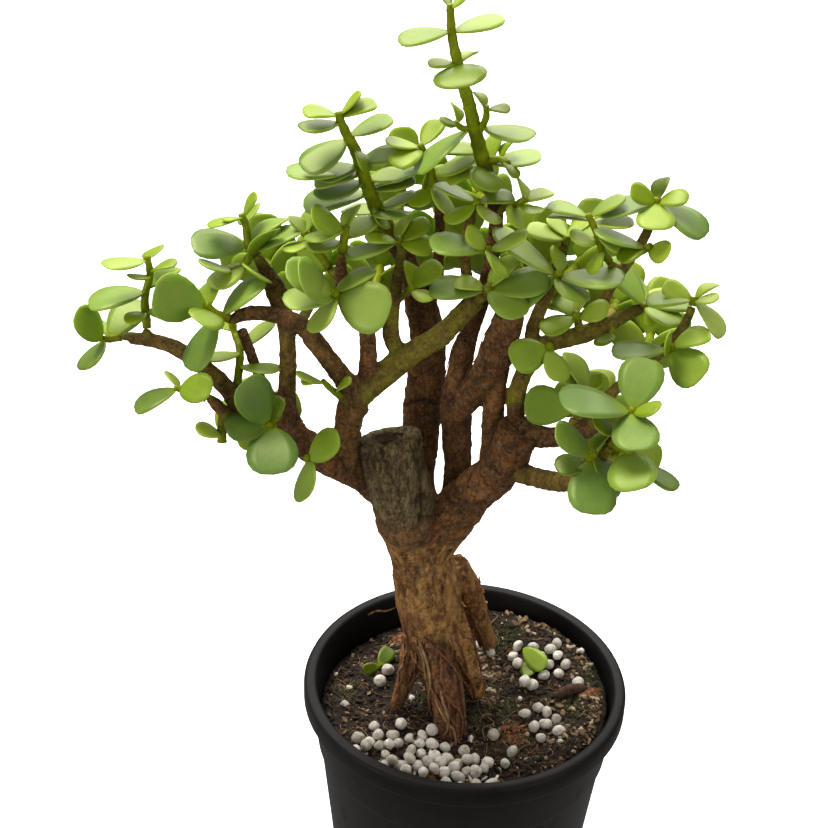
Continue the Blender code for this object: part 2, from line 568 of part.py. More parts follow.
def inner_radius(height):
    """The radius in mm of the pot's inner wall at a height in mm."""
    foot = collar_foot() + 1.0
    if height >= foot:
        rise = (height - foot) / (POT_HEIGHT - RIM_BAND - foot)
        return COLLAR_FOOT_RADIUS - WALL + rise * (COLLAR_RADIUS - COLLAR_FOOT_RADIUS)
    return BASE_RADIUS - WALL + (BODY_TOP_RADIUS - BASE_RADIUS) * height / collar_foot()


def make_pot(group, cutters):
    band_foot = POT_HEIGHT - RIM_BAND
    foot = collar_foot()
    profile = [
        (0.0, FLOOR), (inner_radius(FLOOR), FLOOR), (inner_radius(foot), foot),
        (inner_radius(foot + 1.0), foot + 1.0),
        (inner_radius(band_foot), band_foot), (COLLAR_RADIUS - 1.5, POT_HEIGHT - 1.0),
        (COLLAR_RADIUS - 0.6, POT_HEIGHT), (RIM_RADIUS - 1.2, POT_HEIGHT), (RIM_RADIUS, POT_HEIGHT - 1.4),
        (RIM_RADIUS, band_foot + 1.0), (RIM_RADIUS - 0.8, band_foot), (COLLAR_RADIUS, band_foot),
        (COLLAR_FOOT_RADIUS, foot + 0.8), (BODY_TOP_RADIUS, foot), (BASE_RADIUS, 1.2),
        (BASE_RADIUS - 1.0, 0.0), (0.0, 0.0),
    ]
    pot = turned("pot", profile, group)
    drains = []
    for index in range(DRAIN_COUNT):
        turn = math.tau * (index + 0.5) / DRAIN_COUNT
        bpy.ops.mesh.primitive_cylinder_add(
            vertices=12, radius=DRAIN_RADIUS * MM, depth=4 * FLOOR * MM,
            location=(DRAIN_CIRCLE * MM * math.cos(turn), DRAIN_CIRCLE * MM * math.sin(turn), FLOOR * MM / 2),
        )
        drain = bpy.context.object
        drain.name = f"drain_{index}"
        bpy.context.collection.objects.unlink(drain)
        cutters.objects.link(drain)
        drains.append(drain)
    boolean(pot, "DIFFERENCE", drains)
    pot.data.materials.append(material("pot"))
    return pot


def soil_rise(x, y):
    """How far the soil's surface stands above its level, in mm."""
    waves = 0.9 * math.sin(0.13 * x + 0.6) * math.cos(0.11 * y - 0.4)
    waves += 0.5 * math.sin(0.29 * x - 0.21 * y)
    mound = 1.6 * math.exp(-((x + 8.0) ** 2 + y**2) / 320.0)
    return waves + mound


def make_soil(group, holes):
    edge = inner_radius(SOIL_TOP - 1.0) - SOIL_SIDE_SLACK
    foot = collar_foot()
    profile = [(0.0, SOIL_TOP)]
    profile += [(radius, SOIL_TOP) for radius in SOIL_RINGS]
    profile += [
        (edge - 0.6, SOIL_TOP - 0.6), (edge, SOIL_TOP - 2.5),
        (inner_radius(foot + 1.5) - SOIL_SIDE_SLACK, foot + 1.5),
        (inner_radius(foot - 1.0) - SOIL_SIDE_SLACK, foot - 1.0),
        (inner_radius(FLOOR + GAP) - SOIL_SIDE_SLACK, FLOOR + GAP), (0.0, FLOOR + GAP),
    ]
    soil = turned("soil", profile, group)
    for vertex in soil.data.vertices:
        x, y, z = (value / MM for value in vertex.co)
        if z > SOIL_TOP - 1.0 and math.hypot(x, y) < edge:
            vertex.co.z += soil_rise(x, y) * MM * (0.5 if math.hypot(x, y) > SOIL_RINGS[-1] + 1.0 else 1.0)
    boolean(soil, "DIFFERENCE", holes)
    soil.data.materials.append(material("soil"))
    return soil


def limb_points(rows):
    return [spot(*row[:3]) for row in rows], [row[3] for row in rows]


def rooted(name):
    """A root's points with its end carried down into the soil."""
    points, radii = limb_points(LIMBS[name])
    if name in ROOTS:
        at = 0 if name == "trunk" else len(points)
        end = points[0 if name == "trunk" else -1]
        below = Vector((end.x, end.y, (SOIL_TOP - ROOT_DEPTH) * MM))
        points.insert(at, below)
        radii.insert(at, radii[0 if name == "trunk" else -1] * 0.7)
    return points, radii


def joint(rows):
    """Where a shoot's first stem starts, and its direction there."""
    start = spot(*rows[0][:3])
    return start, (spot(*rows[1][:3]) - start).normalized()


def twig(name, root, rows, group):
    """The short piece of old wood that carries a shoot, cut square to the shoot's stem."""
    start, along = joint(rows)
    inside = spot(*root)
    reach = (start - inside).length
    points = [inside, start - along * min(1.2 * MM, reach * 0.4), start]
    radius = rows[0][3] * 1.08
    return tube(name, points, [radius, radius, radius], group, 0)


def make_wood(group, cutters):
    pieces = []
    for name in LIMBS:
        points, radii = rooted(name)
        sides = sum(max(radii) > least for least in LIMB_ROUND)
        pieces.append(tube(name, points, radii, group, sides))
    for name, root, rows in all_shoots():
        pieces.append(twig(name + "_twig", root, rows, group))
    wood = pieces[0]
    wood.name = "trunk_and_branches"
    boolean(wood, "UNION", pieces[1:])
    hollows = [
        tube("stump_hollow", *limb_points(STUMP_HOLLOW), cutters, 1),
        tube("stub_hollow", *limb_points(STUB_HOLLOW), cutters, 1),
    ]
    boolean(wood, "DIFFERENCE", hollows)
    wood.data.materials.append(material("wood"))
    return wood


def root_holes(cutters):
    """Plain holes in the soil, a gap wider than each root that stands in it."""
    holes = []
    for name in ROOTS:
        points, radii = rooted(name)
        points[0 if name == "trunk" else -1].z -= GAP * MM
        holes.append(tube(name + "_hole", points, [radius + GAP + 0.1 for radius in radii], cutters))
    return holes


def back_rows(name):
    return tuple((*point, radius) for point, radius in zip(BACK_SHOOTS[name][1], BACK_STEM_RADII))


def all_shoots():
    """Each shoot's name, the place that carries it and its first stem."""
    front = [(name, shoot["root"], shoot["stems"][0]) for name, shoot in SHOOTS.items()]
    back = [(name, BACK_SHOOTS[name][0], back_rows(name)) for name in BACK_SHOOTS]
    return front + back


def stem_line(rows, is_first):
    """A stem's points, with the first one held a gap off the wood that carries it."""
    points, radii = limb_points(rows)
    if is_first:
        points[0] = points[0] + (points[1] - points[0]).normalized() * GAP * MM
    return points, radii


def stem_round(line):
    """Four sides on a thin stem, six on a thick one."""
    return 1 if line[1][0] > THICK_STEM else 0


def samples(points, skip):
    """Places along a line about every half millimetre, past a first stretch in mm and short of its end."""
    total = sum((end - start).length for start, end in zip(points, points[1:]))
    skip = min(skip * MM, 0.5 * total)
    most = max(total - END_MARGIN * MM, 0.75 * total)
    found, travelled = [], 0.0
    for start, end in zip(points, points[1:]):
        length = (end - start).length
        count = max(1, int(length / (0.5 * MM)))
        for step in range(count + 1):
            if skip <= travelled + length * step / count <= most:
                found.append(start.lerp(end, step / count))
        travelled += length
    return found


def nearest_to_sight(places, across, down):
    ray = sight(across, down).normalized()
    return min(places, key=lambda place: (place - EYE).cross(ray).length)


def tip_on_sight(base, across, down, length):
    """The leaf's tip on its sight line, at the leaf's length from its base where that can be reached."""
    ray = sight(across, down).normalized()
    along = (base - EYE).dot(ray)
    aside = (base - EYE - ray * along).length
    reach = abs(length) * MM
    slide = math.sqrt(max(reach**2 - aside**2, 0.0))
    return EYE + ray * (along - math.copysign(slide, length))


def leaf_frame(base, tip, width, normal):
    """Columns: along the leaf, across it and out of its face, each at the leaf's own size."""
    along = tip - base
    face = (normal - along * normal.dot(along) / along.length_squared).normalized()
    across = face.cross(along.normalized())
    frame = Matrix.Identity(4)
    columns = (along, across * width * MM, face * LEAF_THICKNESS * MM, base)
    for index, column in enumerate(columns):
        for row in range(3):
            frame[row][index] = column[row]
    return frame


def seen_leaf(places, row):
    """The frame of a leaf from its row: it faces the eye as far as its apparent width asks."""
    base = nearest_to_sight(places, row[0], row[1])
    tip = tip_on_sight(base, row[2], row[3], row[5])
    base = base + (tip - base).normalized() * ROOT_SHIFT * MM
    along = tip - base
    seen_width = row[4] / FOCAL * (base - EYE).length / MM
    width = max(LEAF_RATIO * along.length / MM, seen_width)
    to_eye = EYE - base
    to_eye = (to_eye - along * to_eye.dot(along) / along.length_squared).normalized()
    upward = along.normalized().cross(to_eye)
    if upward.z < 0:
        upward.negate()
    lean = math.acos(min(seen_width / width, 1.0))
    return leaf_frame(base, tip, width, to_eye * math.cos(lean) + upward * math.sin(lean))


def paired_leaves(points, draw):
    """Frames of opposite leaves along a stem, each pair a quarter turn on from the last."""
    frames = []
    total = len(points) - 1
    for order, share in enumerate(BACK_PAIRS):
        index = min(int(share * total), total - 1)
        place = points[index].lerp(points[index + 1], share * total - index)
        along = (points[index + 1] - points[index]).normalized()
        side = along.cross(Vector((0, 0, 1))).normalized()
        side.rotate(Matrix.Rotation(math.radians(90 * order + draw.uniform(-18, 18)), 3, along))
        for way in (1, -1):
            spread = math.radians(SPREAD + draw.uniform(-10, 10) - (22 if share == 1.0 else 0))
            lean = along * math.cos(spread) + side * way * math.sin(spread)
            length = draw.uniform(*BACK_LEAF)
            root = place + along * (way - 3.0) * PAIR_STEP * MM + lean * ROOT_SHIFT * MM
            frames.append(leaf_frame(root, root + lean * length * MM, LEAF_RATIO * length, along))
    return frames


def leaf_mesh():
    """One leaf of unit length, width and thickness: the hull of its root, its outline and its crowned
    middle, then arched."""
    points = [(0, y, z) for y in (-LEAF_ROOT[0], LEAF_ROOT[0]) for z in (-LEAF_ROOT[1], LEAF_ROOT[1])]
    points += [(x, side * y, 0) for x, y in LEAF_OUTLINE for side in (1, -1)]
    points += [(1, 0, 0), (LEAF_CROWN[0], 0, LEAF_CROWN[1]), (LEAF_CROWN[0], 0, -LEAF_CROWN[1])]
    shape = bmesh.new()
    for point in points:
        shape.verts.new(point)
    bmesh.ops.convex_hull(shape, input=shape.verts)
    for vertex in shape.verts:
        vertex.co.z += LEAF_ARCH * vertex.co.x * (1 - vertex.co.x)
    bmesh.ops.recalc_face_normals(shape, faces=shape.faces)
    bmesh.ops.triangulate(shape, faces=shape.faces)
    mesh = bpy.data.meshes.new("leaf")
    shape.to_mesh(mesh)
    shape.free()
    return mesh


def leaf_tree(mesh, frame, grow):
    """A search tree of a leaf, wider by a margin in mm, and the middle and reach of its ball."""
    along, across, face = (frame.col[i].xyz for i in range(3))
    wide = frame @ Matrix.Diagonal((
        1 + grow * MM / along.length, 1 + 2 * grow * MM / across.length, 1 + 2 * grow * MM / face.length, 1))
    corners = [wide @ vertex.co for vertex in mesh.vertices]
    middle = sum(corners, Vector()) / len(corners)
    reach = max((corner - middle).length for corner in corners)
    faces = [tuple(face.vertices) for face in mesh.polygons]
    outer = [face for face in faces if min(mesh.vertices[index].co.x for index in face) > OUTER_PART]
    return BVHTree.FromPolygons(corners, faces), BVHTree.FromPolygons(corners, outer), middle, reach


def object_tree(obj):
    return BVHTree.FromPolygons(
        [vertex.co for vertex in obj.data.vertices], [tuple(face.vertices) for face in obj.data.polygons])


def turned_leaf(frame, lift, swing, size):
    """The leaf turned about its root: lift about its width, swing about its face, and made shorter."""
    base = frame.to_translation()
    across = frame.col[1].xyz.normalized()
    face = frame.col[2].xyz.normalized()
    turn = Matrix.Rotation(math.radians(swing), 4, face) @ Matrix.Rotation(math.radians(lift), 4, across)
    scale = Matrix.Diagonal((size, size, 1, 1))
    return Matrix.Translation(base) @ turn @ Matrix.Translation(-base) @ frame @ scale


def leaf_trials():
    """Sizes and turns to try, the mildest change first."""
    signed = [0] + [sign * angle for angle in TRIES[1:] for sign in (1, -1)]
    trials = [(size, lift, swing) for size in SHRINKS for lift in signed for swing in signed]
    return sorted(trials, key=lambda trial: abs(trial[1]) + abs(trial[2]) + SHRINK_COST * (1 - trial[0]))


def clear_leaf(mesh, frame, owner, stems, placed):
    """The mildest change of the leaf that meets no other shoot and no wood, or nothing. One that also
    clears the blades of its own shoot is taken before one that does not."""
    spare = (None, None)
    for size, lift, swing in leaf_trials():
        trial = turned_leaf(frame, lift, swing, size)
        tree, outer, middle, reach = leaf_tree(mesh, trial, LEAF_CLEARANCE)
        if any(tree.overlap(other) for name, other in stems if name != owner):
            continue
        near = [entry for entry in placed if (entry[3] - middle).length < entry[4] + reach]
        if any(tree.overlap(entry[1]) for entry in near if entry[0] != owner):
            continue
        found = trial, (owner, tree, outer, middle, reach)
        if not any(outer.overlap(entry[2]) for entry in near if entry[0] == owner):
            return found
        if spare[0] is None:
            spare = found
    return spare


def stem_lines():
    """Every shoot's stem lines by name, those of the front first."""
    lines = {name: [stem_line(rows, index == 0) for index, rows in enumerate(shoot["stems"])]
             for name, shoot in SHOOTS.items()}
    for name in BACK_SHOOTS:
        lines[name] = [stem_line(back_rows(name), True)]
    return lines


def wished_leaves(lines):
    """The name of its shoot and the frame of every leaf, before it gives way to its neighbours."""
    draw = random.Random(BACK_SEED)
    wanted = []
    for name, shoot in SHOOTS.items():
        places = samples(lines[name][0][0], NODE_MARGIN)
        for line in lines[name][1:]:
            places += samples(line[0], 0.0)
        wanted += [(name, seen_leaf(places, row)) for row in shoot["leaves"]]
    for name in BACK_SHOOTS:
        wanted += [(name, frame) for frame in paired_leaves(lines[name][0][0], draw)]
    for name, rows in SMALL_LEAVES.items():
        places = [place for line in lines[name] for place in samples(line[0], NODE_MARGIN)]
        wanted += [(name, seen_leaf(places, row)) for row in rows]
    return wanted


def make_shoots(group, wood):
    """Every shoot: its green stems and its leaves, joined in one solid."""
    leaf = leaf_mesh()
    lines = stem_lines()
    stems, trees = {}, [("wood", object_tree(wood))]
    for name, found in lines.items():
        level = [0 if name in BACK_SHOOTS else stem_round(line) for line in found]
        stems[name] = [tube(f"{name}_stem_{i}", *line, group, level[i]) for i, line in enumerate(found)]
        trees += [(name, object_tree(piece)) for piece in stems[name]]
    placed = []
    for name, frame in wished_leaves(lines):
        clear, entry = clear_leaf(leaf, frame, name, trees, placed)
        if clear is None:
            print("left out a leaf of", name)
            continue
        placed.append(entry)
        blade = add_object(f"{name}_leaf_{len(stems[name])}", leaf.copy(), group)
        blade.data.transform(clear)
        stems[name].append(blade)
    green, dark = material("leaf"), material("back_leaf")
    for name, pieces in stems.items():
        shoot = pieces[0]
        shoot.name = "shoot_" + name
        boolean(shoot, "UNION", pieces[1:])
        shoot.data.materials.append(dark if name in BACK_SHOOTS else green)


def rest_on(tree, place, radius):
    """Raises a ball's middle until it clears the surface below by a gap."""
    for _ in range(60):
        near = tree.find_nearest(place)[3]
        if near >= (radius + GAP) * MM:
            break
        place = place + Vector((0, 0, 0.1 * MM))
    return place


def make_grains(group, soil):
    """Pale balls of feed, each group joined over a slim core."""
    finish = material("grain")
    soil_tree = object_tree(soil)
    for name, spots in GRAINS.items():
        places = [rest_on(soil_tree, ground_spot(*point, SOIL_TOP + GRAIN_RADIUS), GRAIN_RADIUS)
                  for point in spots]
        core = tube(name, places, [GRAIN_CORE] * len(places), group, 0)
        balls = []
        for index, place in enumerate(places):
            bpy.ops.mesh.primitive_ico_sphere_add(subdivisions=1, radius=GRAIN_RADIUS * MM, location=place,
                                                  rotation=(index, 0.4 * index, 0))
            ball = bpy.context.object
            ball.data.transform(ball.matrix_world)
            ball.matrix_world = Matrix.Identity(4)
            balls.append(ball)
        boolean(core, "UNION", balls)
        core.data.materials.append(finish)


def make_bark_chip(group, soil):
    tree = object_tree(soil)
    places = [rest_on(tree, ground_spot(*point, SOIL_TOP + BARK_HEIGHT), radius)
              for point, radius in zip(BARK_STICK, BARK_STICK_RADII)]
    stick = tube("bark_stick", places, BARK_STICK_RADII, group, 1)
    stick.data.materials.append(material("bark"))


def main():
    clear_scene()
    parts = new_collection("dwarf_jade_bonsai")
    cutters = new_collection("cutters")
    make_pot(parts, cutters)
    soil = make_soil(parts, root_holes(cutters))
    wood = make_wood(parts, cutters)
    make_shoots(parts, wood)
    make_grains(parts, soil)
    make_bark_chip(parts, soil)


main()
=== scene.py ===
"""The looks of a dwarf jade bonsai in its black nursery pot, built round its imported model."""

import json
import math
import random

import bmesh
import bpy
import numpy as np
from mathutils import Matrix, Vector, noise
from mathutils.bvhtree import BVHTree

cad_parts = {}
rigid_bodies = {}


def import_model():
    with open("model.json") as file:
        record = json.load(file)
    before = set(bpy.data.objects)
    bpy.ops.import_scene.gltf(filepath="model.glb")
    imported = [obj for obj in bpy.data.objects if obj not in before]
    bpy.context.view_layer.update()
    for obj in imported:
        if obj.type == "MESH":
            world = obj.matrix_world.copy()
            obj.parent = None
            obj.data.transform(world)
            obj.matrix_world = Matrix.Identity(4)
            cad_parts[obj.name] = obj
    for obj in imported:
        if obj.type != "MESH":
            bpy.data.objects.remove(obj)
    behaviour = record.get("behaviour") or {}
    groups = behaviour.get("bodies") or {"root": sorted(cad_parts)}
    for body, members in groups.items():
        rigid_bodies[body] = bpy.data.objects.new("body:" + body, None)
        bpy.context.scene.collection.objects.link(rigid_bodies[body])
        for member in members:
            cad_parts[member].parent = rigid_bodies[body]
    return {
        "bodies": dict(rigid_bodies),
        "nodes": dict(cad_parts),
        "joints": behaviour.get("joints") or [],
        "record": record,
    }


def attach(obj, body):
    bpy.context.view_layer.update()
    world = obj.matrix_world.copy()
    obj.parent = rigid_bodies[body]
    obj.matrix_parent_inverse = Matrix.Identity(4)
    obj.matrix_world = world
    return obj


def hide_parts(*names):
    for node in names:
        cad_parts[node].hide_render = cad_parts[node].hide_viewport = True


bl_info = {
    "name": "Dwarf Jade Bonsai",
    "version": (1, 0, 0),
    "blender": (4, 5, 0),
    "location": "View3D > Sidebar > Bonsai",
    "description": "Builds the finished pot, soil, wood, shoots and studio of a dwarf jade bonsai",
    "category": "Object",
}

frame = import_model()

MM = 0.001
GAP = 0.3  # clearance in mm between a stem and the wood that carries it

# The picture's camera: its place in mm, its turn in degrees and its focal length in picture points
EYE = Vector((0.0, -370.5, 393.2)) * MM
LOOK_DOWN = 29.4
LOOK_LEFT = 3.0
HEAD_TILT = 2.0
FOCAL = 1458.0
PICTURE_MIDDLE = 414.0
PICTURE_SIDE = 828.0
SENSOR = 36.0

# Pot, in mm, as in the construction
POT_HEIGHT = 88.0
RIM_RADIUS = 52.0
RIM_BAND = 7.0
COLLAR_RADIUS = 49.4
COLLAR_DROP = 24.0
COLLAR_FOOT_RADIUS = 47.4
BODY_TOP_RADIUS = 46.6
BASE_RADIUS = 40.0
WALL = 1.9
FLOOR = 2.6
DRAIN_RADIUS = 4.0
DRAIN_CIRCLE = 25.0
DRAIN_COUNT = 4
POT_SEGMENTS = 160

# Soil, in mm
SOIL_TOP = 77.0
SOIL_FOOT = 60.0
SOIL_EDGE = 46.35
SOIL_STEP = 0.42
SOIL_SPREAD = 44.5
ROOT_DEPTH = 9.0
CRUMB_SEED = 17
LITTER_SEED = 23

# Leaves as in the construction, in mm or as shares of the leaf's own length, width and thickness
LEAF_THICKNESS = 1.7
LEAF_RATIO = 0.82
LEAF_ROOT = (0.05, 0.22)
LEAF_OUTLINE = ((0.40, 0.39), (0.77, 0.48))
LEAF_CROWN = (0.60, 0.50)
LEAF_ARCH = 0.8
OUTER_PART = 0.3
NODE_MARGIN = 1.6
END_MARGIN = 0.8
THICK_STEM = 1.55
LEAF_CLEARANCE = 0.2
ROOT_SHIFT = 0.45

# The finer leaf of the looks. Each kind has its fullness, its cup and its arch.
LEAF_SEGMENTS = 10
LEAF_RINGS = 9
LEAF_FULL = 0.575
LEAF_KINDS = ((0.85, 0.12, 0.8), (0.95, 0.30, 1.6), (0.80, 0.22, -0.4), (0.88, -0.12, 0.5), (0.78, 0.2, 2.2))
OLD_LEAF_LENGTH = 9.0
OLD_LEAF_SPAN = 6.0

# Leaf tones, 0 for deep green and 1 for bright: the lowest, the highest and the likeliest, and what the
# leaves of the back and of single shoots add to theirs: painted shade below zero, painted light above it
LEAF_TONES = (0.05, 0.95, 0.5)
BACK_SHADE = -0.12
SHOOT_LIGHT_AND_SHADE = {"left_big_leaves": -0.05, "low_left": -0.6, "low_right": -0.3, "low_right_front": -0.6,
               "left_leader": -0.3, "upper_left": -0.1, "right_node": 0.1, "far_right": 0.05,
               "high_right": -0.25, "centre": 0.05}
TONE_SEED = 5

# Green stems: the swelling at each node, and how far in mm a stem stays brown from its root
NODE_STEP = 3.6
NODE_SWELL = 0.14
NODE_WIDTH = 0.13
BROWN_REACH = 6.0

# Studio. A lamp has its place and disk size in m, its power in W and its colour.
FLOOR_SIZE = 24.0
FLOOR_GLOW = 0.5
LAMP_AIM = (0.0, 0.0, 0.17)
LAMPS = {
    "fill": ((0.95, -0.75, 0.65), 0.8, 3.4, (1.0, 0.97, 0.92)),
    "side": ((-0.95, -0.75, 0.30), 0.7, 5.0, (1.0, 0.96, 0.90)),
    "back": ((0.10, 0.95, 1.00), 1.4, 15.0, (1.0, 0.98, 0.93)),
}
SUN_PLACE = (-0.6, -0.4, 1.2)
SUN_FROM = (-0.42, 0.30, 1.0)
SUN_SPREAD = 34.0
SUN_COLOUR = (1.0, 0.975, 0.93)
NEAREST_SEEN = 0.02
FARTHEST_SEEN = 30.0

# Limbs of old wood: (across, down, toward the eye in mm, radius in mm)
LIMBS = {
    "trunk": ((444, 684, -3, 6.0), (434, 648, -1, 8.6), (429, 600, 0, 10.3), (422, 556, 0, 10.0),
              (423, 516, 0, 10.2)),
    "stump": ((417, 556, 2, 7.8), (406, 513, 5, 9.2), (397, 474, 9, 9.2), (388, 436, 7, 9.5)),
    "back_limb": ((425, 520, -5, 5.8), (422, 480, -8, 3.7), (421, 440, -9, 5.1), (423, 405, -10, 6.0),
                  (428, 350, -11, 5.4), (422, 308, -12, 4.8), (407, 262, -10, 2.8), (388, 234, -8, 2.7)),
    "middle_limb": ((444, 530, -3, 5.5), (455, 498, -3, 4.5), (458, 468, -3, 4.2), (456, 432, -2, 4.6),
                    (456, 400, -2, 4.7), (462, 356, -4, 3.4), (471, 330, -4, 2.5), (482, 300, -3, 2.3),
                    (492, 255, -2, 2.1),
                    (496, 222, -2, 2.1), (494, 190, -2, 2.3)),
    "right_limb": ((424, 556, 1, 7.6), (446, 521, 3, 7.5), (473, 493, 6, 6.6), (503, 465, 9, 6.2),
                   (520, 428, 11, 6.2)),
    "low_right_branch": ((506, 466, 10, 3.6), (534, 477, 16, 2.9), (562, 482, 27, 2.7), (586, 478, 36, 2.2),
                         (602, 458, 37, 1.9)),
    "stub_branch": ((518, 434, 11, 3.8), (556, 437, 10, 2.9), (588, 428, 8, 2.9), (605, 420, 8, 3.0)),
    "upright_limb": ((490, 482, 7, 3.8), (493, 432, 4, 3.4), (495, 392, 3, 3.0), (499, 366, 2, 3.2)),
    "dead_limb": ((456, 414, 0, 3.8), (474, 390, 2, 4.3), (496, 356, 3, 4.8), (508, 322, 4, 4.6),
                  (512, 306, 4, 3.0)),
    "right_branch": ((516, 436, 10, 2.6), (516, 400, 5, 2.6), (525, 370, 4, 2.6), (543, 346, 3, 2.6),
                     (577, 336, 1, 2.6), (604, 326, 0, 2.2), (636, 310, -2, 1.8)),
    "left_limb": ((407, 509, 1, 6.3), (368, 477, 4, 5.3), (338, 463, 8, 5.2), (313, 449, 12, 4.7),
                  (293, 431, 16, 3.9), (284, 404, 18, 3.3), (283, 394, 18, 2.6)),
    "left_riser": ((286, 412, 18, 2.9), (288, 366, 15, 2.4), (286, 326, 12, 2.5), (276, 292, 8, 2.9),
                   (262, 264, 4, 1.8)),
    "left_reach": ((292, 440, 17, 2.6), (262, 437, 22, 2.1), (240, 425, 24, 1.9), (214, 403, 27, 1.7)),
    "long_branch": ((247, 431, 23, 2.5), (238, 406, 22, 2.6), (222, 383, 20, 2.5), (186, 354, 16, 2.2),
                    (160, 342, 14, 2.1), (130, 338, 14, 1.8)),
    "thin_branch": ((285, 412, 17, 2.0), (266, 390, 13, 1.7), (254, 362, 11, 1.6), (242, 330, 14, 1.5)),
    "fork_limb": ((357, 476, 6, 4.6), (347, 446, 9, 4.4), (351, 412, 9, 4.3), (353, 393, 8, 3.9),
                  (340, 374, 10, 2.9), (318, 346, 12, 2.8), (300, 324, 13, 2.5), (262, 313, 15, 2.2),
                  (236, 316, 16, 1.9)),
    "right_fork": ((352, 402, 8, 3.8), (367, 388, 7, 3.9), (397, 364, 4, 3.8), (413, 352, 3, 3.5),
                   (442, 334, 4, 3.1), (476, 300, 4, 2.8)),
    "fork_riser": ((367, 384, 7, 2.7), (368, 346, 6, 2.5), (362, 314, 6, 2.2), (344, 298, 7, 1.9),
                   (341, 264, 6, 1.7)),
    "olive_stem": ((402, 356, 3, 2.4), (391, 336, 1, 2.5), (393, 304, 0, 2.1), (399, 272, 0, 1.6),
                   (401, 252, 0, 1.4)),
    "dark_stem": ((428, 314, -12, 2.0), (437, 274, -9, 1.6), (440, 226, -7, 1.5), (438, 196, -6, 1.4)),
    "centre_stem": ((478, 316, -3, 1.7), (467, 276, 0, 1.6), (465, 242, 1, 1.5), (472, 216, 2, 1.4)),
    "crown_stem": ((532, 357, 4, 2.3), (533, 328, 2, 2.1), (545, 298, 0, 1.9), (555, 274, -2, 1.8),
                   (562, 254, -3, 1.7)),
    "high_right_stem": ((592, 331, 0, 1.7), (611, 286, 0, 1.6), (627, 264, 0, 1.5), (644, 238, 0, 1.4),
                        (651, 222, 0, 1.3)),
    "far_right_stem": ((592, 427, 9, 1.9), (606, 400, 10, 1.7), (624, 382, 10, 1.6), (656, 357, 9, 1.5),
                       (680, 332, 8, 1.4), (689, 315, 8, 1.3)),
    "front_root": ((428, 618, 2, 6.4), (435, 650, 6, 4.8), (444, 682, 10, 5.2), (448, 710, 13, 5.0),
                   (450, 740, 16, 4.4)),
    "right_root": ((444, 600, 0, 5.4), (456, 632, 2, 4.8), (466, 662, 1, 4.1), (474, 686, -1, 3.1),
                   (479, 704, -3, 2.2)),
    "left_root": ((414, 632, 2, 3.8), (407, 668, 4, 2.8), (398, 698, 6, 2.2), (391, 718, 7, 1.7)),
    "back_root": ((454, 566, -4, 5.0), (468, 585, -8, 4.0), (476, 608, -14, 3.4), (484, 630, -22, 2.9),
                  (491, 650, -30, 2.3)),
}
ROOTS = ("trunk", "front_root", "right_root", "left_root", "back_root")
HOLLOWS = {
    "stump": ((394, 470, 9, 3.4), (389, 448, 8, 5.0), (384, 424, 7, 6.8)),
    "stub_branch": ((592, 426, 8, 1.2), (612, 417, 8, 1.8)),
}

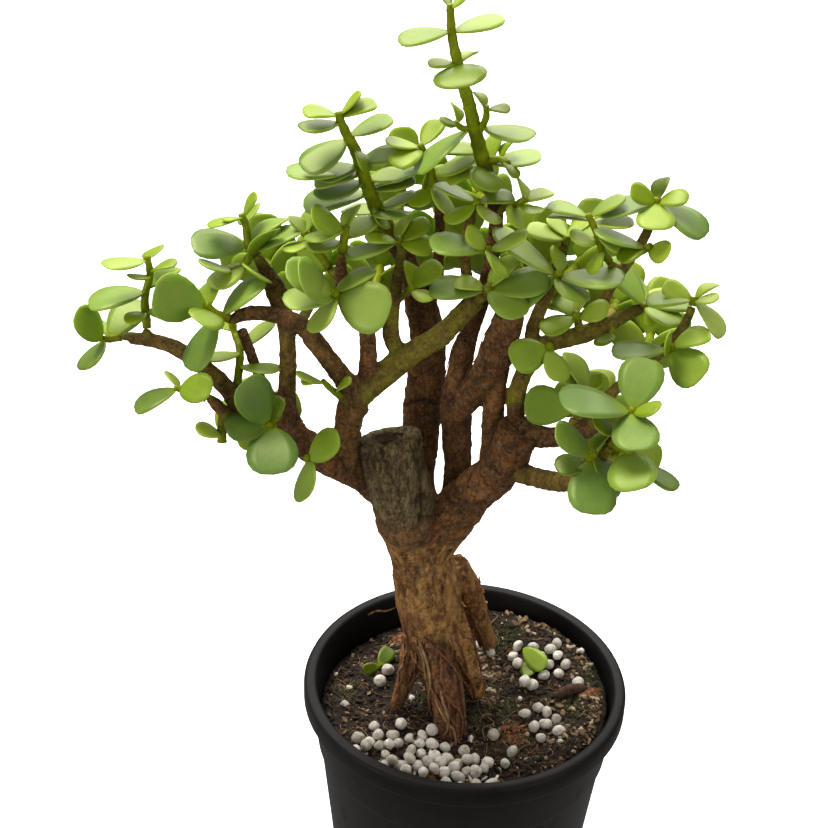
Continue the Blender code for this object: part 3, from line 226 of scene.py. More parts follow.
# Shoots: the place on old wood that carries it, then its stems, then its leaves. A stem point is (across,
# down, toward, radius). A leaf is (across and down of its base, across and down of its tip, apparent width,
# and its real length in mm, minus where the tip points away from the eye).
SHOOTS = {
    "low_left": ((284, 412, 18), (((272, 421, 24, 1.4), (268, 427, 27, 1.3)),), (
        (268, 424, 243, 381, 42, 16), (268, 425, 225, 429, 30, 13), (270, 427, 297, 398, 26, -12),
        (271, 428, 274, 475, 54, 17))),
    "under_left": ((314, 461, 12), (((309, 458, 19, 1.2), (307, 458, 23, 1.1)),), (
        (306, 456, 340, 438, 30, 13), (311, 458, 305, 500, 21, 14))),
    "far_left_low": ((220, 405, 26), (((207, 398, 27, 1.3), (190, 392, 28, 1.1), (174, 387, 28, 1.0)),), (
        (173, 386, 135, 412, 18, 13), (176, 390, 212, 390, 32, 12))),
    "hanging_stub": ((226, 412, 26), (((222, 425, 29, 1.3), (222, 442, 30, 1.3)),), (
        (222, 432, 197, 432, 16, 9),)),
    "far_left_tip": ((134, 336, 14), (((122, 337, 14, 1.2), (108, 339, 14, 1.1), (100, 339, 14, 0.9)),), (
        (101, 339, 75, 313, 31, 13), (103, 340, 85, 370, 17, 12), (109, 336, 141, 300, 33, -15),
        (110, 338, 96, 318, 14, -11))),
    "far_left_high": ((152, 339, 14), (
        ((147, 329, 14, 1.2), (145, 297, 12, 1.1), (150, 275, 11, 1.0), (147, 256, 10, 0.9)),), (
        (143, 290, 88, 306, 22, 15), (146, 290, 176, 267, 18, -12), (151, 271, 176, 265, 8, 9),
        (147, 258, 103, 266, 13, 13), (148, 260, 156, 247, 13, -9), (146, 310, 186, 319, 18, 12))),
    "left_big_leaves": ((240, 316, 16), (((230, 318, 16, 1.5), (216, 314, 17, 1.3), (205, 304, 17, 1.2)),), (
        (206, 302, 153, 293, 50, 17), (218, 316, 190, 371, 27, 17), (236, 306, 197, 321, 27, 13),
        (228, 306, 265, 280, 20, 13), (210, 306, 214, 278, 22, -12))),
    "left_mid_shoot": ((233, 396, 21), (
        ((237, 388, 19, 1.2), (240, 352, 10, 1.1), (235, 334, 5, 1.0), (231, 322, 3, 0.9)),), (
        (240, 352, 207, 361, 12, 12), (241, 350, 272, 321, 13, -13), (239, 366, 281, 370, 11, 13),
        (236, 332, 217, 318, 17, -10))),
    "upper_left": ((270, 276, 6), (
        ((257, 257, 3, 1.5), (249, 246, 1, 1.3), (246, 226, 0, 1.1), (241, 214, 0, 0.9)),
        ((253, 251, 2, 1.2), (243, 266, 6, 1.1), (230, 272, 8, 1.0))), (
        (247, 245, 191, 245, 31, 16), (248, 245, 284, 218, 14, -14), (254, 254, 302, 229, 16, 14),
        (255, 260, 287, 262, 10, 13), (242, 258, 213, 291, 23, 13), (232, 270, 201, 264, 9, 11),
        (246, 264, 262, 287, 12, 12), (241, 214, 208, 227, 8, 10), (247, 224, 251, 208, 16, -11))),
    "left_crest": ((342, 280, 6), (((330, 268, 3, 1.3), (318, 252, 2, 1.2), (304, 232, 1, 1.1)),), (
        (304, 230, 308, 202, 20, -13), (309, 240, 287, 252, 12, 9), (308, 238, 332, 228, 14, -9))),
    "left_centre": ((350, 302, 7), (((338, 298, 11, 1.5), (333, 292, 15, 1.3)),), (
        (334, 292, 285, 269, 32, 16), (337, 296, 290, 276, 38, 17), (336, 297, 285, 305, 24, 15),
        (335, 292, 368, 266, 17, -13), (338, 297, 389, 315, 54, 17), (334, 297, 315, 333, 20, 13))),
    "left_centre_high": ((341, 272, 6), (((342, 253, 6, 1.3), (344, 240, 6, 1.2), (346, 226, 6, 1.0)),), (
        (345, 226, 311, 215, 25, 12), (344, 228, 306, 237, 10, 12), (343, 242, 307, 248, 17, 11),
        (345, 240, 373, 217, 22, -12), (346, 226, 356, 206, 14, -9))),
    "centre_left_high": ((401, 256, 0), (((400, 245, 2, 1.2), (398, 238, 3, 1.0)),), (
        (397, 242, 366, 240, 12, 10), (396, 246, 335, 256, 17, 16), (400, 243, 429, 220, 19, -10),
        (402, 246, 434, 249, 22, 10), (399, 240, 405, 214, 14, -10))),
    "left_leader": ((392, 240, -8), (
        ((382, 219, -7, 2.4), (371, 195, -5, 2.1), (362, 170, -3, 1.8), (355, 150, -1, 1.6),
         (347, 135, 0, 1.4), (341, 122, 1, 1.2), (338, 112, 1, 1.0)),), (
        (339, 113, 303, 114, 13, 10), (342, 117, 377, 104, 15, -10), (341, 121, 300, 129, 14, 12),
        (349, 137, 392, 117, 17, -13), (349, 139, 303, 170, 29, 15), (360, 160, 400, 156, 20, 12),
        (360, 165, 321, 180, 19, 12), (362, 168, 286, 178, 19, 17), (364, 172, 314, 186, 16, -13),
        (367, 178, 314, 192, 18, 15), (371, 194, 303, 207, 25, 16), (370, 190, 416, 180, 13, 13),
        (371, 186, 434, 176, 9, -16), (371, 178, 405, 172, 16, -10), (377, 202, 384, 228, 12, 9),
        (378, 206, 414, 196, 12, 12), (378, 208, 400, 226, 24, 13), (380, 214, 346, 208, 14, -12))),
    "middle_shoot": ((438, 202, -6), (
        ((437, 189, -5, 1.2), (432, 175, -4, 1.1), (428, 160, -3, 1.0), (420, 144, -2, 0.9)),), (
        (420, 144, 385, 141, 10, 10), (421, 143, 439, 119, 20, -10), (424, 148, 395, 167, 22, 11),
        (431, 176, 475, 160, 17, 13), (435, 184, 415, 207, 18, 10), (429, 162, 404, 150, 14, -10),
        (430, 166, 404, 178, 12, -9), (436, 182, 449, 216, 16, 12))),
    "tall_leader": ((494, 196, -2), (
        ((487, 174, -2, 2.1), (480, 150, -1, 2.0), (475, 130, 0, 1.9), (468, 100, 1, 1.7),
         (463, 85, 1, 1.6), (457, 60, 1, 1.45), (452, 35, 0, 1.25), (450, 4, 0, 1.0)),
        ((479, 132, 0, 1.0), (486, 118, 2, 0.9), (486, 106, 3, 0.8)),
        ((473, 128, 0, 1.0), (462, 128, 1, 0.8), (455, 122, 2, 0.8)),
        ((484, 163, -2, 1.3), (499, 159, 0, 1.0), (509, 164, 2, 0.9))), (
        (450, 6, 438, -16, 10, -9), (451, 6, 472, -14, 10, 9), (451, 30, 398, 42, 17, 14),
        (453, 32, 504, 17, 16, -14), (461, 64, 462, 88, 54, 13), (478, 125, 533, 138, 18, 15),
        (472, 130, 411, 167, 16, 17), (484, 163, 542, 156, 17, 15), (492, 160, 496, 131, 18, -10),
        (485, 170, 484, 190, 32, 12), (484, 174, 446, 180, 15, 11), (481, 154, 447, 151, 14, -10))),
    "leader_side": ((497, 214, -2), (((507, 207, 2, 1.1), (518, 204, 4, 1.0), (526, 198, 5, 0.9)),), (
        (520, 203, 552, 191, 13, -10), (518, 205, 538, 214, 14, 9), (514, 206, 514, 226, 18, 9),
        (524, 199, 518, 178, 10, -9))),
    "centre_high": ((471, 222, 2), (((474, 208, 4, 1.1), (478, 200, 5, 0.9)),), (
        (475, 206, 515, 190, 19, -12), (474, 205, 438, 179, 13, -13), (474, 208, 447, 223, 16, 10),
        (475, 207, 497, 224, 13, 9))),
    "centre_front": ((466, 256, 0), (((478, 250, 8, 1.2), (490, 250, 12, 1.1)),), (
        (488, 250, 466, 230, 18, 9), (488, 251, 430, 246, 23, 16), (490, 250, 526, 232, 14, 12),
        (489, 252, 500, 276, 14, 11))),
    "centre": ((470, 306, 4), (((484, 293, 6, 1.8), (490, 287, 8, 1.4)),), (
        (489, 288, 505, 253, 22, -13), (486, 290, 454, 283, 15, 9), (485, 291, 431, 287, 26, -16),
        (489, 289, 549, 279, 31, 16), (488, 289, 520, 318, 30, 14))),
    "olive_leaves": ((398, 300, 0), (((406, 293, 4, 1.1), (412, 288, 7, 1.0)),), (
        (411, 289, 402, 266, 14, -9), (412, 287, 426, 256, 24, -11))),
    "crown_right": ((560, 260, -3), (((565, 245, -3, 1.3), (568, 236, -3, 1.1)),), (
        (563, 243, 527, 227, 17, 11), (567, 242, 612, 232, 20, 13), (566, 238, 552, 218, 14, -9),
        (567, 238, 588, 216, 14, -10))),
    "crown_mid": ((550, 290, -1), (((556, 279, 4, 1.3), (560, 272, 8, 1.1)),), (
        (558, 274, 625, 278, 22, 18), (557, 275, 486, 240, 22, 21), (559, 274, 558, 248, 16, -9),
        (558, 278, 580, 302, 22, 13), (556, 280, 512, 310, 28, 15))),
    "right_node": ((628, 314, -2), (((642, 308, -2, 1.5), (648, 305, -2, 1.3)),), (
        (642, 307, 588, 283, 21, 16), (645, 304, 624, 271, 25, -13), (648, 305, 692, 306, 18, 12),
        (646, 307, 681, 325, 18, 13), (647, 304, 660, 288, 12, -8), (644, 308, 624, 336, 18, 11))),
    "far_right": ((688, 318, 8), (((692, 307, 8, 1.2), (695, 297, 7, 1.1)),), (
        (694, 298, 663, 285, 20, 9), (693, 303, 647, 296, 15, 13), (693, 306, 722, 338, 17, 12))),
    "far_right_mid": ((658, 354, 9), (((666, 352, 14, 1.2), (672, 347, 18, 1.0)),), (
        (671, 347, 666, 342, 20, 9), (666, 352, 702, 379, 42, 14), (674, 345, 711, 334, 20, 11),
        (666, 352, 611, 351, 20, 15))),
    "low_right": ((598, 462, 37), (
        ((609, 447, 38, 1.5), (622, 428, 37, 1.4), (634, 408, 35, 1.2)),
        ((612, 444, 38, 1.2), (630, 452, 42, 1.2), (642, 466, 44, 1.0))), (
        (636, 407, 646, 358, 48, -16), (633, 408, 560, 401, 31, 20), (633, 410, 638, 451, 48, 16),
        (626, 450, 636, 491, 50, 15), (643, 467, 678, 489, 17, 12), (635, 410, 660, 408, 15, 9),
        (620, 432, 594, 424, 16, 9))),
    "low_right_front": ((584, 478, 35), (((588, 466, 39, 1.4), (593, 452, 42, 1.2)),), (
        (590, 458, 593, 515, 50, 17), (589, 464, 556, 470, 23, 10), (592, 452, 555, 429, 26, 13),
        (592, 453, 606, 430, 14, -9), (592, 456, 622, 490, 22, -13))),
    "right_inner": ((570, 433, 9), (((574, 418, 8, 1.3), (580, 396, 6, 1.2), (588, 388, 5, 1.0)),), (
        (577, 408, 524, 408, 42, 15), (582, 394, 553, 356, 22, -14), (588, 388, 568, 352, 20, -13),
        (588, 388, 604, 382, 12, 8), (578, 404, 602, 400, 12, 8))),
    "branch_leaf": ((548, 345, 3), (((549, 348, 9, 1.3), (549, 347, 13, 1.2)),), (
        (549, 347, 511, 362, 37, 13), (550, 346, 560, 382, 24, 11))),
    "branch_top_leaves": ((582, 334, 1), (((578, 322, 3, 1.3), (576, 312, 4, 1.1)),), (
        (577, 320, 556, 293, 29, -12), (577, 316, 609, 309, 21, 10), (577, 320, 541, 331, 21, 11))),
    "branch_under_leaf": ((612, 322, 0), (((613, 328, 3, 1.1), (613, 334, 5, 1.0)),), ()),
    "high_right": ((650, 226, 0), (((655, 209, 0, 1.2), (658, 198, 0, 1.0)),), (
        (657, 201, 630, 190, 20, 9), (659, 201, 689, 199, 17, 9), (656, 204, 655, 230, 40, 12),
        (657, 205, 705, 237, 26, 16), (652, 211, 600, 214, 21, 14))),
    "high_right_low": ((634, 254, 0), (((644, 250, 5, 1.1), (650, 246, 8, 1.0)),), (
        (644, 249, 590, 243, 14, 14), (646, 248, 669, 254, 25, 9), (643, 250, 620, 262, 16, 9))),
    "high_right_inner": ((622, 271, 0), (
        ((610, 262, 3, 1.1), (602, 250, 4, 1.0), (596, 232, 4, 0.9), (588, 214, 3, 0.9)),), (
        (588, 214, 546, 207, 13, 11), (588, 213, 624, 195, 13, -11), (592, 220, 550, 215, 12, -12),
        (594, 223, 634, 216, 13, 11), (600, 242, 570, 236, 15, 9), (598, 236, 626, 240, 14, 9))),
    "fork_shoot": ((350, 405, 9), (((341, 397, 12, 1.0), (330, 388, 15, 0.9), (323, 381, 17, 0.8)),), (
        (326, 380, 297, 375, 8, 9),)),
}

# Shoots on the side away from the eye: root, and a stem that bears pairs of leaves by rule
BACK_SHOOTS = {
    "back_crown": ((430, 296, -12), ((438, 276, -24), (445, 250, -38), (448, 228, -50))),
    "back_left_crown": ((428, 318, -12), ((410, 292, -26), (396, 268, -40), (388, 246, -52))),
    "back_centre": ((480, 304, -3), ((494, 284, -18), (506, 262, -32), (514, 240, -44))),
    "back_right_crown": ((550, 292, -1), ((566, 278, -16), (580, 260, -32), (588, 240, -44))),
    "back_right": ((604, 326, 0), ((612, 312, -14), (616, 303, -28), (618, 296, -40))),
    "back_leader": ((494, 214, -2), ((488, 204, -13), (479, 196, -22), (470, 190, -30))),
    "back_left_leader": ((392, 242, -9), ((398, 214, -22), (402, 190, -32), (404, 168, -40))),
    "back_upper_left": ((276, 290, 8), ((270, 276, -8), (266, 262, -20), (262, 250, -30))),
    "back_left": ((300, 324, 13), ((312, 300, -2), (318, 278, -16), (322, 258, -28))),
    "back_fork": ((362, 316, 6), ((374, 292, -8), (380, 268, -22), (382, 246, -34))),
    "back_low_left": ((285, 404, 18), ((274, 404, 4), (262, 412, -8), (254, 418, -18))),
    "back_stub": ((572, 433, 9), ((580, 416, -6), (588, 408, -18), (595, 404, -28))),
    "back_far_right": ((640, 370, 10), ((646, 352, -2), (650, 336, -14), (654, 320, -24))),
    "back_low_right": ((596, 464, 37), ((611, 463, 24), (618, 458, 12), (622, 450, 2))),
    "back_middle": ((515, 312, 4), ((524, 292, -10), (534, 270, -22), (540, 250, -32))),
}
BACK_STEM_RADII = (1.5, 1.3, 1.1)
BACK_PAIRS = (0.28, 0.52, 0.76, 1.0)
BACK_LEAF = (11.0, 14.5)
BACK_SEED = 41
PAIR_STEP = 0.23
SPREAD = 62.0

# Turns in degrees that a leaf tries, about its root, until it clears every other piece
TRIES = (0, 5, 10, 16, 23, 32, 43, 55)
SHRINKS = (1.0, 0.86, 0.72, 0.58)
SHRINK_COST = 90.0

# Small leaves that are set last, by shoot, in the same form
SMALL_LEAVES = {
    "far_left_low": ((174, 387, 169, 372, 9, -7),),
    "far_left_high": ((150, 275, 132, 278, 8, 8), (146, 312, 130, 324, 14, 8)),
    "upper_left": ((245, 216, 226, 225, 8, 7), (241, 213, 257, 194, 9, 8)),
    "left_crest": ((304, 232, 290, 222, 10, -8),),
    "left_leader": ((339, 113, 361, 91, 7, -7), (353, 146, 366, 172, 12, 8)),
    "tall_leader": ((457, 64, 428, 65, 10, 8), (459, 64, 476, 52, 8, -7), (486, 108, 475, 92, 9, -6),
                    (486, 110, 509, 112, 9, 7), (456, 124, 453, 104, 9, -7), (456, 124, 441, 121, 9, 6),
                    (500, 160, 513, 141, 8, -7), (504, 163, 514, 178, 10, 7)),
    "olive_leaves": ((411, 289, 432, 300, 14, 8),),
    "far_right": ((695, 298, 717, 284, 10, -8), (694, 300, 717, 300, 11, 8)),
    "branch_top_leaves": ((576, 312, 584, 290, 12, -8),),
    "branch_under_leaf": ((613, 331, 600, 346, 14, 8),),
    "high_right": ((658, 200, 665, 177, 16, -8),),
    "high_right_inner": ((602, 250, 594, 274, 14, 8),),
    "fork_shoot": ((324, 380, 302, 384, 8, 7), (335, 392, 352, 380, 8, 7)),
}

# Bark, with its lengths in mm. The trunk's tan bark ends at a height, with a raised and wandering edge.
BARK_VOXEL = 0.52
PATH_STEP = 1.4
TRUNK_TOP = 147.0
TAN_BLEND = 2.5
GREY_BLEND = 12.0
GREY_LEAST = 0.25
EDGE_WANDER = 3.0
EDGE_WANDER_SIZE = 9.0
MARK_WANDER = 4.0 / 3.0
LEDGE_HEIGHT = 0.6
LEDGE_WIDTH = 6.0
LEDGE_LIMBS = ("trunk", "stump", "right_limb", "left_limb")
GREY_LIMBS = {"stump": 1.0}
RED_LIMBS = {"front_root": 1.0, "left_root": 0.6, "back_root": 0.2}
OLIVE_LIMBS = {"right_fork": 0.75, "right_branch": 0.7, "fork_limb": 0.1, "olive_stem": 0.8,
               "far_right_stem": 0.6, "high_right_stem": 0.6, "crown_stem": 0.5, "centre_stem": 0.4,
               "low_right_branch": 0.35, "left_riser": 0.3, "long_branch": 0.25}
TWIG_OLIVE = 0.9
BOLE_LIMBS = (*ROOTS, "stump", "right_limb", "left_limb", "back_limb", "middle_limb")

# Places on the old wood by picture point, each with its reach in mm: red and fibrous ones, and rusty ones
BARK_FIBRE = ((402, 628, 4.0), (408, 640, 5.0), (412, 652, 5.0), (426, 654, 4.5), (400, 648, 4.0))
BARK_RUST = ((384, 560, 4.0), (386, 580, 5.0), (390, 604, 5.0), (396, 628, 5.0), (402, 650, 5.0),
             (472, 580, 5.0), (480, 604, 6.0), (488, 628, 5.0), (348, 500, 6.0), (356, 520, 5.0),
             (330, 470, 6.0), (330, 420, 6.0), (436, 530, 4.0), (376, 525, 4.0))

# Lines on the old wood by picture point, each with its height and reach in mm and its darkness, which is
# painted shade in its groove
BARK_MARKS = (
    (-0.9, 0.9, 0.9, ((381, 447), (384, 456), (388, 466), (392, 480), (398, 494))),
    (0.7, 2.6, 0.0, ((394, 450), (399, 466), (404, 486), (410, 506))),
    (-0.7, 0.8, 0.9, ((421, 440), (422, 462), (420, 484), (421, 504), (419, 520))),
    (-0.4, 0.5, 0.6, ((372, 448), (366, 458), (364, 470), (368, 482))),
    (-0.4, 0.5, 0.6, ((362, 456), (356, 466), (356, 478), (362, 490))),
    (-0.4, 0.5, 0.5, ((350, 458), (346, 468), (348, 480))),
    (-0.4, 0.5, 0.5, ((343, 455), (338, 464), (338, 472))),
    (-0.6, 0.6, 0.9, ((400, 400), (412, 403), (424, 401), (438, 405))),
    (-0.4, 0.5, 0.7, ((420, 522), (432, 514), (446, 510), (462, 512))),
    (-0.4, 0.5, 0.7, ((430, 538), (444, 528), (462, 522))),
    (-0.4, 0.5, 0.6, ((440, 492), (452, 502), (468, 506), (484, 502))),
    (-0.3, 0.5, 0.6, ((452, 480), (464, 488), (478, 490))),
    (-0.5, 0.6, 0.8, ((438, 546), (430, 560), (436, 576), (446, 588))),
    (-0.4, 0.5, 0.7, ((400, 556), (412, 566), (420, 580), (418, 596))),
    (-0.4, 0.5, 0.7, ((390, 590), (404, 584), (418, 588))),
)
RING_STEP = 4.4
RING_HEIGHT = 0.28
RING_WIDTH = 0.13
RING_WANDER = 11.0
FISSURE_DEPTH = 0.85
LIMB_FISSURE_DEPTH = 0.22
STUMP_FISSURE_DEPTH = 0.35
WRINKLE_DEPTH = 0.08
WRINKLE_STEP = 1.25
KNOB_HEIGHT = 0.14
HOLLOW_LIP = 1.3
SEAM_REACH = 0.9
LIMB_SEED_STEP = 1.3
CHUNK = 2000

# Fine roots on the big ones: how many, their radius, and how far the loosest stand off, in mm
STRAND_SEED = 31
ROOT_STRANDS = (("front_root", 22, 0.5, 0.5), ("left_root", 8, 0.35, 0.6), ("back_root", 14, 0.42, 0.8),
                ("right_root", 9, 0.4, 0.3), ("left_limb", 3, 0.16, 0.6), ("middle_limb", 2, 0.16, 0.5),
                ("right_limb", 2, 0.16, 0.5), ("dead_limb", 3, 0.14, 0.7))
STRAND_STEPS = 8
PALE_SHARE = 0.22

# Scraps of bark: how many, and from which share of the root's length to which
FLAKES = (("trunk", 70, 0.05, 0.55), ("back_root", 22, 0.0, 0.5), ("left_root", 8, 0.0, 0.5),
          ("right_root", 16, 0.0, 0.7))
FLAKE_KINDS = 8
FLAKE_LIFT = 0.15

# The bank of soil against the wall: its middle and its reach in degrees, and its height in mm
BANK_MIDDLE = 32.0
BANK_REACH = 88.0
BANK_HEIGHT = 6.5

# Grey-white prills on the soil, by picture point, with their spacing in radii
PRILL_RADIUS = 1.8
PRILL_SPACING = 1.72
PRILL_ROUNDS = 60
PRILLS = {
    "prills_front": ((358, 737), (356, 749), (370, 741), (378, 738), (380, 744), (386, 754), (397, 742),
                     (401, 723), (393, 735), (409, 739), (423, 735), (431, 733), (432, 743), (445, 746),
                     (400, 764), (408, 761), (406, 772), (420, 752), (418, 765), (394, 763), (384, 765)),
    "prills_front_right": ((435, 758), (447, 758), (464, 750), (475, 758), (488, 762), (484, 770),
                           (469, 772), (446, 771), (435, 772), (473, 774), (476, 782), (491, 783),
                           (458, 764), (458, 776), (423, 774), (446, 782), (461, 786)),
    "prills_right": ((534, 726), (546, 724), (541, 737), (547, 711), (559, 730), (556, 721), (538, 707),
                     (525, 712)),
    "prills_back": ((518, 645), (513, 655), (518, 663), (533, 646), (541, 655), (549, 663), (557, 658),
                    (566, 663), (559, 672), (544, 674), (532, 684), (524, 684), (557, 642), (578, 682),
                    (536, 665), (550, 652)),
}
LOOSE_PRILLS = ((493, 734), (512, 750), (505, 762), (480, 644), (491, 651), (388, 669), (380, 680),
                (374, 725), (420, 742), (412, 752), (428, 764), (440, 764), (452, 770), (390, 746),
                (366, 748), (466, 762))
PRILL_SHARDS = ((380, 767), (390, 774), (470, 783), (478, 786), (484, 782), (490, 786), (496, 780),
                (402, 777), (450, 768), (414, 745), (430, 756), (470, 744), (500, 771), (365, 757))

# Other loose things on the soil, by picture point. A fallen leaf has its root, its tip, its lift and width
# in mm and its tone. A seedling has its foot and its leaf tips. A patch has its reach in mm.
BARK_CHIP = ((551, 695), (560, 694), (570, 690), (580, 688), (587, 687))
BARK_CHIP_RADII = (0.5, 1.5, 1.8, 1.5, 0.6)
PERLITE = ((345, 705), (336, 676), (580, 653), (412, 700), (470, 740), (520, 700), (560, 742), (350, 690))
FALLEN_LEAVES = (((523, 648), (545, 668), 4.4, 7.0, 0.3), ((524, 662), (530, 676), 2.2, 5.0, -0.1))
SEEDLINGS = (((379, 669), ((363, 671), (391, 648))),)
MOSS_PATCHES = ((491, 703, 9.0), (520, 735, 8.0), (575, 705, 9.0), (430, 700, 6.0), (590, 672, 6.0),
                (505, 640, 7.0), (345, 690, 5.0), (470, 720, 6.0))
PEAT_PATCHES = ((514, 734, 5.5), (516, 730, 4.0), (590, 694, 3.0), (398, 640, 3.0), (400, 776, 3.0),
                (428, 780, 2.5))
PALE_PATCHES = ((488, 662, 4.0), (485, 678, 4.0), (483, 696, 4.0), (496, 676, 4.0), (598, 700, 5.0),
                (600, 718, 5.0), (592, 664, 4.0), (560, 735, 6.0), (590, 740, 5.0), (560, 615, 5.0),
                (540, 600, 4.0), (420, 770, 5.0))
SEEDLING_HEIGHT = 1.6
SEEDLING_RADII = (0.5, 0.45, 0.4)
SEEDLING_TIP_LIFT = 2.2
CHIP_LIFT = 0.2
MOSS_TUFTS = 900
CRUMBS = 6500
CRUMB_KINDS = 12
CRUMB_SIZES = (0.16, 0.2, 0.24, 0.3, 0.3, 0.4, 0.5, 0.75)
FIBRES = 150
FIBRE_STEPS = 4
WALL_ROOT = ((368, 615), (376, 611), (386, 611), (397, 607))
WALL_ROOT_RADII = (0.35, 0.45, 0.4, 0.25)

VIEW = (
    Matrix.Rotation(math.radians(LOOK_LEFT), 3, "Z")
    @ Matrix.Rotation(math.radians(90.0 - LOOK_DOWN), 3, "X")
    @ Matrix.Rotation(math.radians(HEAD_TILT), 3, "Z")
)


def sight(across, down):
    """The direction from the eye through a point of the picture."""
    return VIEW @ Vector(((across - PICTURE_MIDDLE) / FOCAL, (PICTURE_MIDDLE - down) / FOCAL, -1.0))


def spot(across, down, toward):
    """The place seen at a picture point, at a distance in mm in front of the pot's axis."""
    ray = sight(across, down)
    return EYE + ray * ((-toward * MM - EYE.y) / ray.y)


def ground_spot(across, down, height):
    """The place seen at a picture point, at a height in mm."""
    ray = sight(across, down)
    return EYE + ray * ((height * MM - EYE.z) / ray.z)


class Signal:
    """A socket of a finish's node tree. Arithmetic on it adds Math nodes."""

    def __init__(self, tree, socket):
        self.tree = tree
        self.socket = socket

    def math(self, operation, *others, clamped=False):
        step = self.tree.nodes.new("ShaderNodeMath")
        step.operation = operation
        step.use_clamp = clamped
        for slot, item in zip(step.inputs, (self, *others)):
            plug(self.tree, slot, item)
        return Signal(self.tree, step.outputs[0])

    def __add__(self, other):
        return self.math("ADD", other)

    __radd__ = __add__

    def __sub__(self, other):
        return self.math("SUBTRACT", other)

    def __rsub__(self, other):
        return self * -1.0 + other

    def __mul__(self, other):
        return self.math("MULTIPLY", other)

    __rmul__ = __mul__

    def between(self, low, high):
        """Zero at low, one at high, and clamped past them."""
        return (self - low).math("DIVIDE", high - low, clamped=True)

    def near(self, centre, reach):
        """One at a value, falling to zero at a reach on both sides of it."""
        return 1.0 - (self - centre).math("ABSOLUTE").math("DIVIDE", reach, clamped=True)


def plug(tree, socket, item):
    """Links a signal to a socket, or sets a number or a colour on it."""
    if isinstance(item, Signal):
        tree.links.new(item.socket, socket)
    elif isinstance(item, tuple) and socket.type == "RGBA":
        socket.default_value = (*item, 1.0)
    else:
        socket.default_value = item


class Finish:
    """A procedural material under construction."""

    def __init__(self, name):
        self.material = bpy.data.materials.new(name)
        self.material.use_nodes = True
        self.tree = self.material.node_tree
        self.shader = self.tree.nodes["Principled BSDF"]

    def node(self, kind, settings=None, sockets=None, output=0):
        """One node of a kind, with its settings, then its sockets, as the signal of one output."""
        made = self.tree.nodes.new(kind)
        for key, value in (settings or {}).items():
            setattr(made, key, value)
        for key, value in (sockets or {}).items():
            plug(self.tree, made.inputs[key], value)
        return Signal(self.tree, made.outputs[output])

    def place(self, stretch=(1.0, 1.0, 1.0)):
        """The point on the object, stretched along its axes."""
        point = self.node("ShaderNodeTexCoord", output=3)
        return self.node("ShaderNodeMapping", {"vector_type": "POINT"}, {"Vector": point, "Scale": stretch})

    def noise(self, scale, detail=3.0, rough=0.55, stretch=(1.0, 1.0, 1.0), warp=0.0):
        """Cloudy noise from 0 to 1, with a scale in features a metre."""
        return self.node("ShaderNodeTexNoise", {}, {
            "Vector": self.place(stretch), "Scale": scale, "Detail": detail, "Roughness": rough,
            "Distortion": warp})

    def cells(self, scale):
        """The distance from the nearest of many scattered points, with a scale in points a metre."""
        return self.node("ShaderNodeTexVoronoi", {"feature": "F1"}, {"Vector": self.place(), "Scale": scale})

    def painted(self, name):
        """A number that the mesh carries at each of its points."""
        return self.node("ShaderNodeAttribute", {"attribute_name": name}, output=2)

    def mix(self, factor, first, second):
        """One colour over another, by a factor from 0 to 1."""
        return self.node("ShaderNodeMix", {"data_type": "RGBA"}, {0: factor, 6: first, 7: second}, output=2)

    def bump(self, height, depth, strength):
        """Relief from a height of 0 to 1, with its depth in metres."""
        return self.node("ShaderNodeBump", {}, {"Strength": strength, "Distance": depth, "Height": height})

    def finish(self, **sockets):
        """The finished material, with these sockets of its shader filled."""
        for key, value in sockets.items():
            plug(self.tree, self.shader.inputs[key.replace("_", " ")], value)
        return self.material


def leaf_finish(settings):
    """Fleshy leaf skin: pale sage to deep green above, yellow-green below and at the root, with a painted
    highlight along its rim.
    """
    skin = Finish("jade_leaf")
    tone = skin.painted("tone")
    along = skin.painted("along")
    edge = skin.painted("edge")
    under = skin.painted("under")
    mottle = skin.noise(260.0, 4.0, 0.6)
    fleck = skin.noise(2600.0, 2.0, 0.5)
    deep, middle, bright = (tuple(colour) for colour in (settings.deep, settings.sage, settings.bright))
    # The tone carries each leaf's drawn tone and the painted light and shade of its shoot
    shade = tone + (mottle - 0.5) * 0.35
    colour = skin.mix(shade.between(0.0, 0.5), deep, middle)
    colour = skin.mix(shade.between(0.5, 1.05), colour, bright)
    colour = skin.mix(skin.painted("old") * 0.5, colour, tuple(settings.old_leaf))
    colour = skin.mix(under * 0.5, colour, tuple(settings.root))
    colour = skin.mix((1.0 - along.between(0.0, 0.24)) * 0.75, colour, tuple(settings.root))
    # Painted highlight: a pale rim along each leaf's edge and tip
    colour = skin.mix(edge.between(0.92, 1.0) * 0.5, colour, tuple(settings.edge))
    colour = skin.mix(fleck.between(0.60, 0.72) * 0.12, colour, tuple(settings.edge))
    relief = mottle * 0.6 + fleck * 0.25
    return skin.finish(
        Base_Color=colour, Roughness=0.32 + mottle * 0.16 + under * 0.08,
        Normal=skin.bump(relief, 0.00022, 0.5), Subsurface_Weight=0.2, Subsurface_Scale=0.0018,
        Subsurface_Radius=(0.9, 1.4, 0.12), Specular_IOR_Level=0.5, Specular_Tint=(0.95, 1.0, 0.45))


def stem_finish(settings):
    """Green young stem that turns brown towards the old wood."""
    skin = Finish("green_stem")
    age = skin.painted("age")
    mottle = skin.noise(420.0, 4.0, 0.6)
    colour = skin.mix(mottle.between(0.3, 0.7), (0.125, 0.16, 0.001), (0.24, 0.29, 0.004))
    streak = skin.noise(700.0, 3.0, 0.6, stretch=(1.0, 1.0, 0.25))
    brown = (age + (streak - 0.5) * 0.9).between(0.65, 1.2)
    colour = skin.mix(brown, colour, tuple(settings.old_stem))
    return skin.finish(
        Base_Color=colour, Roughness=0.42 + brown * 0.3, Normal=skin.bump(streak, 0.0004, 0.6),
        Subsurface_Weight=0.08, Subsurface_Radius=(0.9, 1.4, 0.3), Subsurface_Scale=0.001,
        Specular_Tint=(0.9, 1.0, 0.2))


